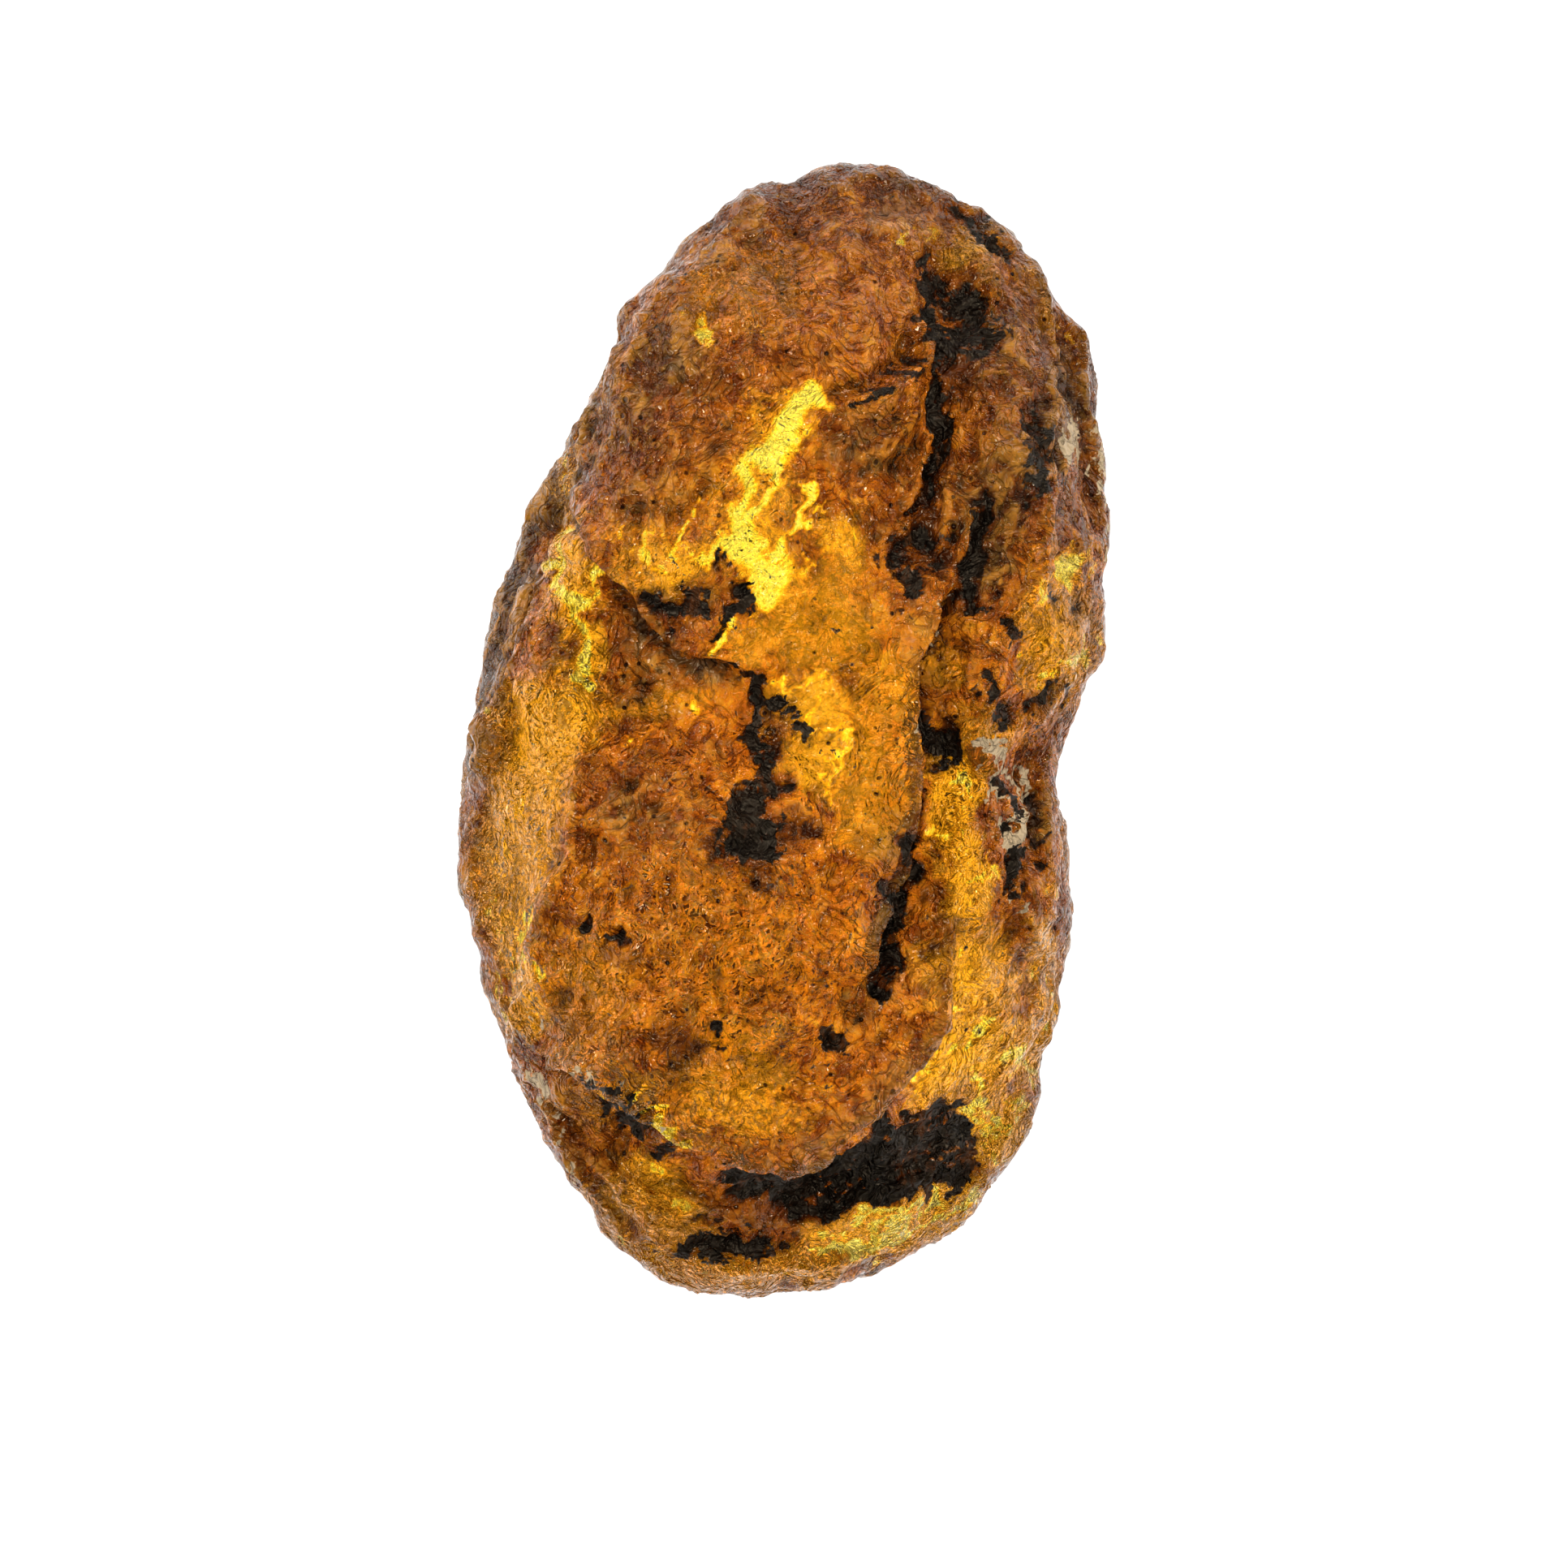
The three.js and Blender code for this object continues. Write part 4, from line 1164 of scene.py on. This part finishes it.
@dataclass(frozen=True)
class AmberFinish:
    """See-through amber under a thin, cloudy, stained skin, with a crust in its furrows."""

    refraction: float = 1.54
    skin_refraction: float = 1.45
    absorbed: Colour = (1.0, 0.91, 0.03)
    absorption: float = 80.0
    streaks: tuple = (1.5, 0.35, 1.1)
    clear_roughness: float = 0.03
    gloss_tint: Colour = (1.0, 0.78, 0.52)
    cloudiness: float = 0.42
    bump: float = 1.0
    bump_reach: float = 0.005
    bump_height: float = 0.1
    swirl: Pattern = Pattern(0.30, 4.0, 0.5, 1.6)
    mottle: Pattern = Pattern(0.8, 4.0, 0.55, 1.3)
    speck: Pattern = Pattern(2.6, 2.0, 0.5, 0.8)
    wisp: Pattern = Pattern(0.75, 5.0, 0.55, 2.6)
    spark: Pattern = Pattern(3.2, 4.0, 0.7, 1.2)
    streak: Pattern = Pattern(1.0, 4.0, 0.6, 0.7)
    crease: Pattern = Pattern(0.55, 3.0, 0.5, 1.6)
    wrinkle: Pattern = Pattern(0.95, 2.0, 0.42, 1.8)
    pits_per_mm: float = 1.25
    crust_edge: Edge = Edge(1.3, 0.44, 0.58)
    window_edge: Edge = Edge(0.5, 0.22, 0.62)
    frost_and_glints_edge: Edge = Edge(1.2, 0.42, 0.60)
    honey_edge: Edge = Edge(0.5, 0.05, 0.8)
    ember_edge: Edge = Edge(0.6, 0.1, 0.9)
    smoke_edge: Edge = Edge(0.6, 0.1, 0.9)
    stain_edge: Edge = Edge(0.9, 0.25, 0.75)
    painted_sheen_edge: Edge = Edge(0.8, 0.2, 0.9)
    ridge_highlight_edge: Edge = Edge(0.6, 0.15, 0.85)
    glowing: Colour = (1.0, 0.28, 0.006)
    bright: Colour = (1.0, 0.86, 0.30)
    # the painted highlight's colour on the crests
    ridge_highlight: Colour = (0.95, 0.42, 0.05)
    # the ramps' stops, each a place and a colour
    depths: tuple = (
        (0.2, (0.05, 0.002, 0.0)), (0.4, (0.28, 0.025, 0.001)), (0.58, (0.66, 0.09, 0.002)),
        (0.85, (1.0, 0.32, 0.015)),
    )
    skin: tuple = (
        (0.2, (0.06, 0.008, 0.001)), (0.4, (0.24, 0.042, 0.002)), (0.56, (0.46, 0.10, 0.003)),
        (0.8, (0.82, 0.26, 0.015)),
    )
    honey: tuple = (
        (0.22, (0.28, 0.055, 0.001)), (0.5, (0.50, 0.135, 0.003)), (0.78, (0.82, 0.34, 0.015)),
    )
    ember: tuple = (
        (0.25, (0.42, 0.10, 0.001)), (0.5, (0.80, 0.27, 0.004)), (0.75, (1.0, 0.55, 0.05)),
    )
    smoke: tuple = (
        (0.25, (0.035, 0.015, 0.005)), (0.5, (0.12, 0.055, 0.014)), (0.75, (0.30, 0.16, 0.05)),
    )
    stain: tuple = (
        (0.25, (0.02, 0.004, 0.001)), (0.5, (0.12, 0.020, 0.002)), (0.75, (0.40, 0.09, 0.005)),
    )
    crust: tuple = (
        (0.3, (0.002, 0.001, 0.0005)), (0.55, (0.012, 0.005, 0.002)), (0.8, (0.16, 0.04, 0.004)),
    )
    window: tuple = (
        (0.25, (0.95, 0.24, 0.002)), (0.42, (1.0, 0.50, 0.012)), (0.58, (1.0, 0.72, 0.04)),
        (0.8, (1.0, 0.90, 0.28)),
    )
    veil: Colour = (0.60, 0.26, 0.035)
    # the painted sheen's colour
    painted_sheen: Colour = (0.56, 0.24, 0.055)
    # the colour of the pale crackle and of the painted glints
    frost_and_glints: Colour = (0.80, 0.58, 0.33)

    def read_layers(self, graph: Graph, place: Value) -> Layers:
        """Work out the values that the amber's colours are mixed by.

        Args:
            graph: The material's graph.
            place: The place in millimetres.

        Returns:
            The values.
        """
        swirl = graph.noise(place, self.swirl)
        mottle = graph.noise(place, self.mottle)
        speck = graph.noise(place, self.speck)
        wisp = graph.noise(place, self.wisp)
        spark = (graph.noise(place, self.spark) - 0.5) * 3.0 + 0.5
        pits = {"Vector": place, "Scale": self.pits_per_mm, "Randomness": 1.0}
        cell = graph.add("ShaderNodeTexVoronoi", {}, pits)
        draw = graph.add("ShaderNodeSeparateColor", {}, {0: cell.out("Color")})
        reach = cell.out("Distance")
        ragged = (mottle - 0.5) * 1.5 + (speck - 0.5) * 0.9
        stretch = {"operation": "MULTIPLY"}
        drawn = graph.add("ShaderNodeVectorMath", stretch, {0: place, 1: self.streaks}).out(0)
        streak = graph.noise(drawn, self.streak)
        crust = graph.mark(Mark.CRUST)
        window = graph.mark(Mark.WINDOW) + ragged * self.window_edge.fray
        # Thin crease lines: sunk by the bump, and darkened in the colours as painted shade.
        creased = (graph.noise(place, self.crease) - 0.5).size()
        return Layers(
            speck=speck,
            tone=(swirl * 0.36 + mottle * 0.30 + speck * 0.10 + streak * 0.24 - 0.5) * 2.5 + 0.41,
            dot=(1.0 - reach.eased(0.10, 0.19)) * draw.out(0).eased(0.66, 0.70),
            ring=(1.0 - (reach - 0.26).size().eased(0.02, 0.07)) * draw.out(1).eased(0.74, 0.78),
            crease=1.0 - creased.eased(0.0, 0.05),
            veil=wisp.eased(0.50, 0.66),
            veiled=graph.mark(Mark.VEIL),
            crust=crust.frayed(ragged, self.crust_edge),
            window=window.eased(self.window_edge.low, self.window_edge.high),
            shine=window.eased(0.3, 1.1) * 0.75 + (spark - 0.5) * 0.5 + 0.12,
            frost_and_glints=graph.mark(Mark.FROST_AND_GLINTS).frayed(ragged, self.frost_and_glints_edge),
            honey=graph.mark(Mark.HONEY).frayed(ragged, self.honey_edge),
            ember=graph.mark(Mark.EMBER).frayed(ragged, self.ember_edge),
            smoke=graph.mark(Mark.SMOKE).frayed(ragged, self.smoke_edge),
            stain=(graph.mark(Mark.STAIN) + crust * 1.2).frayed(ragged, self.stain_edge),
            painted_sheen=graph.mark(Mark.BLOOM).frayed(ragged, self.painted_sheen_edge),
            ridge_highlight=graph.mark(Mark.RIDGE_HIGHLIGHT).frayed(ragged, self.ridge_highlight_edge),
            hollow_shade=graph.mark(Mark.HOLLOW_SHADE),
        )

    def skin_colour(self, graph: Graph, on: Layers) -> Value:
        """Mix the skin's colour, from the plain skin up to the crust.

        Args:
            graph: The material's graph.
            on: The values to mix by.

        Returns:
            The colour.
        """
        colour = graph.ramp(on.tone, self.skin)
        colour = graph.mix(on.honey, colour, graph.ramp(on.tone, self.honey))
        colour = graph.mix(on.ember, colour, graph.ramp(on.tone, self.ember))
        colour = graph.mix(on.smoke * 0.95, colour, graph.ramp(on.tone, self.smoke))
        colour = graph.mix((on.veil * 0.35 + on.ring * 0.45).clamped(), colour, self.veil)
        # Painted sheen: a paler pinkish orange where the light's reflection is painted.
        colour = graph.mix(on.painted_sheen * 0.55, colour, self.painted_sheen)
        # Painted highlight: a brighter orange on the crests.
        colour = graph.mix(on.ridge_highlight * 0.5, colour, self.ridge_highlight)
        colour = graph.mix(on.stain * 0.9, colour, graph.ramp(on.tone, self.stain))
        # Painted shade in the hollows and along the creases, together with the dark specks, in the stain
        # ramp's darkest colour.
        shade_and_specks = (on.hollow_shade * 0.65 + on.dot * 0.8 + on.crease * 0.25).clamped()
        shade_and_speck_colour = self.stain[0][1]
        colour = graph.mix(shade_and_specks, colour, shade_and_speck_colour)
        colour = graph.mix(on.window, colour, graph.ramp(on.shine, self.window))
        # Pale frosty crackle, and the painted glints along the lips.
        colour = graph.mix(on.frost_and_glints, colour, self.frost_and_glints)
        return graph.mix(on.crust, colour, graph.ramp(on.tone, self.crust))

    def clear_colour(self, graph: Graph, on: Layers) -> Value:
        """Mix the colour of the clear amber.

        Args:
            graph: The material's graph.
            on: The values to mix by.

        Returns:
            The colour.
        """
        # Painted shade along the creases: the clear amber's tone is lowered there.
        clear = graph.ramp(on.tone - on.crease * 0.2, self.depths)
        clear = graph.mix((on.honey * 0.35 + on.ember * 0.9).clamped(), clear, self.glowing)
        clear = graph.mix(on.window, clear, graph.ramp(on.shine, self.window))
        return graph.mix(on.veiled, self.bright, clear)

    def cloud(self, on: Layers) -> Value:
        """Work out how much of the cloudy skin covers the clear amber.

        Args:
            on: The values to work from.

        Returns:
            The share, from 0 to 1.
        """
        cloudy = self.cloudiness + (on.tone - 0.5) * 0.4 + on.veil * 0.2 + on.smoke * 0.4
        cloudy = cloudy + on.painted_sheen * 0.3 + on.stain * 0.4 - on.honey * 0.14 - on.ember * 0.42
        # The hollows are made cloudier and the crests clearer, along with their painted shade and painted
        # highlight.
        cloudy = cloudy + on.dot * 0.6 + on.ring * 0.2 + on.hollow_shade * 0.3 + on.crease * 0.1 - on.ridge_highlight * 0.15
        cloudy = cloudy.clamped() * on.veiled * (1.0 - on.window * 0.9)
        return (cloudy + on.crust + on.frost_and_glints).clamped()

    def build(self) -> bpy.types.Material:
        """Make the material.

        Returns:
            The material, whose colours follow the marks on the mesh.
        """
        material = bpy.data.materials.new("amber")
        material.use_nodes = True
        tree = material.node_tree
        tree.nodes.clear()
        graph = Graph(tree)
        object_place = graph.add("ShaderNodeTexCoord", {}, {}).out("Object")
        scale = {"operation": "SCALE"}
        place = graph.add("ShaderNodeVectorMath", scale, {0: object_place, "Scale": 1.0 / MM}).out(0)
        on = self.read_layers(graph, place)
        rough = 0.07 + (on.speck - 0.4) * 0.1 + on.painted_sheen * 0.08 + on.frost_and_glints * 0.3 + on.crust * 0.3
        height = graph.noise(place, self.wrinkle) - on.crease * 0.3 - on.dot * 0.5 + on.ring * 0.25
        bumped = graph.add("ShaderNodeBump", {}, {
            "Strength": self.bump, "Distance": self.bump_reach, "Height": height * self.bump_height,
        }).out(0)
        gloss_tint = (*self.gloss_tint, 1.0)
        inside = graph.add("ShaderNodeBsdfPrincipled", {}, {
            "Base Color": self.clear_colour(graph, on), "Roughness": self.clear_roughness,
            "IOR": self.refraction, "Transmission Weight": 1.0, "Normal": bumped, "Specular Tint": gloss_tint,
        }).out(0)
        skin = graph.add("ShaderNodeBsdfPrincipled", {}, {
            "Base Color": self.skin_colour(graph, on), "Roughness": rough.clamped(),
            "IOR": self.skin_refraction, "Normal": bumped, "Specular Tint": gloss_tint,
        }).out(0)
        surface = graph.add("ShaderNodeMixShader", {}, {0: self.cloud(on), 1: inside, 2: skin}).out(0)
        volume = graph.add("ShaderNodeVolumeAbsorption", {}, {
            "Color": (*self.absorbed, 1.0), "Density": self.absorption,
        }).out(0)
        graph.add("ShaderNodeOutputMaterial", {}, {"Surface": surface, "Volume": volume})
        return material


@dataclass
class Nodule:
    """The amber nodule: a fine mesh on the solid's own form, with its relief and its marks."""

    voxel: float = 0.27
    rounding: int = 2
    evening: int = 1
    settling: int = 14
    hollow_from: float = 0.02
    hollow_depth: float = 0.16
    inset: float = 0.9995
    worn_share: float = 0.5
    relief: Relief = field(default_factory=Relief)
    colouring: Colouring = field(default_factory=Colouring)
    finish: AmberFinish = field(default_factory=AmberFinish)

    def fine_mesh(self, solid: bpy.types.Object) -> bpy.types.Mesh:
        """Round the solid's facets off and divide it evenly.

        Args:
            solid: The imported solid.

        Returns:
            A closed mesh of small, even faces.
        """
        carrier = bpy.data.objects.new("carrier", solid.data.copy())
        bpy.context.scene.collection.objects.link(carrier)
        carrier.modifiers.new("weld", "WELD").merge_threshold = 1e-6
        carrier.modifiers.new("round", "SUBSURF").levels = self.rounding
        remesh = carrier.modifiers.new("even", "REMESH")
        remesh.mode = "VOXEL"
        remesh.voxel_size = self.voxel * MM
        depsgraph = bpy.context.evaluated_depsgraph_get()
        mesh = bpy.data.meshes.new_from_object(carrier.evaluated_get(depsgraph))
        bpy.data.objects.remove(carrier)
        return mesh

    @staticmethod
    def normals_of(mesh: bpy.types.Mesh) -> Points:
        """Read a mesh's unit normals.

        Args:
            mesh: The mesh.

        Returns:
            One normal for each vertex.
        """
        normals = np.zeros(len(mesh.vertices) * 3, np.float32)
        mesh.vertex_normals.foreach_get("vector", normals)
        return normals.reshape(-1, 3).astype(float)

    def fitted(self, places: Points) -> Points:
        """Keep the places inside the solid's box, with the worn flat level.

        Args:
            places: Rows of x, y, z in millimetres.

        Returns:
            The fitted places.
        """
        low, high = (np.array(corner) / MM for corner in cad_box)
        spread = places.max(axis=0) - places.min(axis=0)
        scale = np.minimum(1.0, self.inset * (high - low) / spread)
        places = (places - places.min(axis=0)) * scale
        slack = (high - low) - places.max(axis=0)
        slack[2] = 0.0
        places = places + low + slack / 2
        worn = self.worn_share * self.relief.lump
        places[:, 2] = np.where(places[:, 2] < worn, 0.0, places[:, 2])
        return places

    def build(self, solid: bpy.types.Object) -> bpy.types.Object:
        """Make the nodule over its solid.

        Args:
            solid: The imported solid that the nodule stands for.

        Returns:
            The finished piece.
        """
        mesh = self.fine_mesh(solid)
        places = np.zeros(len(mesh.vertices) * 3, np.float32)
        mesh.vertices.foreach_get("co", places)
        places = places.reshape(-1, 3).astype(float) / MM
        edges = np.zeros(len(mesh.edges) * 2, np.int32)
        mesh.edges.foreach_get("vertices", edges)
        edges = edges.reshape(-1, 2)
        places = smoothed(places, edges, self.evening)
        mesh.vertices.foreach_set("co", (places * MM).ravel())
        mesh.update()
        normals = self.normals_of(mesh)
        marks = self.colouring.spread(places, normals)
        shaped = places + normals * self.relief.rise(places, normals, marks)[:, None]
        shaped = self.fitted(shaped)
        mesh.vertices.foreach_set("co", (shaped * MM).ravel())
        mesh.update()
        # How far each place sinks below its smoothed neighbours: painted shade where it sinks, a painted
        # highlight where it stands out.
        settled = smoothed(shaped, edges, self.settling)
        sunk = np.einsum("ij,ij->i", settled - shaped, self.normals_of(mesh))
        marks[Mark.HOLLOW_SHADE] = ease(sunk, self.hollow_from, self.hollow_depth)
        marks[Mark.RIDGE_HIGHLIGHT] = ease(-sunk, self.hollow_from, self.hollow_depth)
        for mark, amounts in marks.items():
            attribute = mesh.attributes.new(mark.value, "FLOAT", "POINT")
            attribute.data.foreach_set("value", amounts.astype(np.float32))
        mesh.shade_smooth()
        mesh.materials.clear()
        mesh.materials.append(self.finish.build())
        piece = bpy.data.objects.new(PIECE, mesh)
        bpy.context.scene.collection.objects.link(piece)
        return piece


@dataclass
class Studio:
    """A pale glowing floor, a pale room, soft lamps and the camera, in metres."""

    floor_size: float = 3.0
    floor_glow: float = 1.05
    pool_glow: float = 2.5
    pool_half: tuple = (0.015, 0.027, 1.0)
    pool_edge: tuple = (0.75, 1.05)
    floor_colour: float = 0.22
    floor_roughness: float = 0.9
    walls: float = 0.35
    ceiling: float = 0.06
    horizon: tuple = (0.02, 0.22)
    # each lamp's place, width, height and power
    lamps: tuple = (
        ((-0.25, 0.08, 0.16), 0.05, 0.08, 0.26),
        ((0.26, 0.05, 0.15), 0.04, 0.07, 0.20),
        ((-0.02, 0.30, 0.17), 0.08, 0.04, 0.20),
        ((0.03, -0.29, 0.17), 0.06, 0.03, 0.08),
        ((-0.14, 0.06, 0.27), 0.03, 0.04, 0.12),
        ((0.15, 0.00, 0.26), 0.03, 0.04, 0.10),
        ((0.00, 0.20, 0.26), 0.05, 0.025, 0.12),
        ((-0.04, -0.12, 0.30), 0.03, 0.02, 0.06),
    )
    photo_side: float = 1932.0
    photo_middle: tuple = (965.5, 900.0)
    photo_per_mm: float = 23.333
    lens: float = 100.0
    film: float = 36.0
    clip: tuple = (0.01, 10.0)
    noise_threshold: float = 0.1
    bounces: int = 7
    bounces_through: int = 6
    bounces_apiece: int = 2
    brightest_bounce: float = 4.0

    def plain(self, name: str, colour: float, glow: float) -> bpy.types.Material:
        """Make a plain pale material that also gives off light.

        Args:
            name: The material's name.
            colour: How pale it is, from 0 to 1.
            glow: The strength of its own light.

        Returns:
            The material.
        """
        material = bpy.data.materials.new(name)
        material.use_nodes = True
        shader = material.node_tree.nodes["Principled BSDF"]
        shader.inputs["Base Color"].default_value = (colour, colour, colour, 1.0)
        shader.inputs["Roughness"].default_value = self.floor_roughness
        shader.inputs["Specular IOR Level"].default_value = 0.0
        shader.inputs["Emission Color"].default_value = (1.0, 1.0, 1.0, 1.0)
        shader.inputs["Emission Strength"].default_value = glow
        return material

    def brighten(self, material: bpy.types.Material) -> None:
        """Make the floor a light table, with a brighter pool under the nodule.

        Args:
            material: The floor's material.
        """
        tree = material.node_tree
        graph = Graph(tree)
        place = graph.add("ShaderNodeTexCoord", {}, {}).out("Object")
        divide = {"operation": "DIVIDE"}
        inside = graph.add("ShaderNodeVectorMath", divide, {0: place, 1: self.pool_half}).out(0)
        reach = graph.add("ShaderNodeVectorMath", {"operation": "LENGTH"}, {0: inside}).out("Value")
        rest = (self.floor_glow / self.pool_glow,) * 3
        glow = graph.mix(reach.eased(*self.pool_edge), (1.0, 1.0, 1.0), rest)
        shader = tree.nodes["Principled BSDF"]
        tree.links.new(glow.socket, shader.inputs["Emission Color"])

    def build_floor(self) -> bpy.types.Object:
        """Lay the floor.

        Returns:
            The floor.
        """
        half = self.floor_size / 2
        mesh = bpy.data.meshes.new("floor")
        corners = [(-half, -half, 0), (half, -half, 0), (half, half, 0), (-half, half, 0)]
        mesh.from_pydata(corners, [], [(0, 1, 2, 3)])
        material = self.plain("pale floor", self.floor_colour, self.pool_glow)
        self.brighten(material)
        mesh.materials.append(material)
        floor = bpy.data.objects.new("floor", mesh)
        bpy.context.scene.collection.objects.link(floor)
        return floor

    def build_room(self) -> None:
        """Put pale walls and a dim ceiling round the floor."""
        world = bpy.data.worlds.new("room")
        world.use_nodes = True
        graph = Graph(world.node_tree)
        direction = graph.add("ShaderNodeTexCoord", {}, {}).out("Generated")
        upward = graph.add("ShaderNodeSeparateXYZ", {}, {0: direction}).out("Z")
        bright, dim = (self.walls,) * 3, (self.ceiling,) * 3
        colour = graph.mix(upward.eased(*self.horizon), bright, dim)
        tree = world.node_tree
        tree.links.new(colour.socket, tree.nodes["Background"].inputs["Color"])
        bpy.context.scene.world = world

    def build_lamps(self) -> None:
        """Hang the soft lamps, all turned to the nodule."""
        for number, (place, width, height, power) in enumerate(self.lamps):
            lamp = bpy.data.lights.new(f"lamp {number}", "AREA")
            lamp.shape = "RECTANGLE"
            lamp.size, lamp.size_y, lamp.energy = width, height, power
            holder = bpy.data.objects.new(lamp.name, lamp)
            holder.location = place
            holder.rotation_euler = (-Vector(place)).to_track_quat("-Z", "Y").to_euler()
            bpy.context.scene.collection.objects.link(holder)

    def build_camera(self) -> None:
        """Hang the camera straight above, where the photo's frame falls on the nodule's rim."""
        frame_side = self.photo_side / self.photo_per_mm * MM
        distance = frame_side * self.lens / self.film
        down = (self.photo_side / 2 - self.photo_middle[1]) / self.photo_per_mm * MM
        across = (self.photo_side / 2 - self.photo_middle[0]) / self.photo_per_mm * MM
        camera = bpy.data.cameras.new("camera")
        camera.lens, camera.sensor_width = self.lens, self.film
        camera.clip_start, camera.clip_end = self.clip
        holder = bpy.data.objects.new("camera", camera)
        holder.location = (across, -down, RIM_LEVEL * MM + distance)
        bpy.context.scene.collection.objects.link(holder)
        bpy.context.scene.camera = holder

    def set_light_paths(self) -> None:
        """Let light pass through the amber, and keep its colours as they are."""
        scene = bpy.context.scene
        scene.view_settings.view_transform = "Standard"
        cycles = scene.cycles
        cycles.max_bounces, cycles.transmission_bounces = self.bounces, self.bounces_through
        cycles.diffuse_bounces = cycles.glossy_bounces = self.bounces_apiece
        cycles.sample_clamp_indirect = self.brightest_bounce
        cycles.adaptive_threshold = self.noise_threshold
        cycles.use_denoising = True

    def build(self) -> None:
        """Set the whole studio up."""
        self.build_floor()
        self.build_room()
        self.build_lamps()
        self.build_camera()
        self.set_light_paths()


def main() -> None:
    """Build the studio and the nodule, and report each piece."""
    logging.basicConfig(level=logging.INFO, format="%(message)s")
    Studio().build()
    log.info("studio: floor, room, lamps and camera")
    piece = Nodule().build(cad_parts[NODE])
    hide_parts(NODE)
    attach(piece, "root")
    log.info("%s: %d vertices, %d faces", piece.name, len(piece.data.vertices), len(piece.data.polygons))


if __name__ == "__main__":
    main()
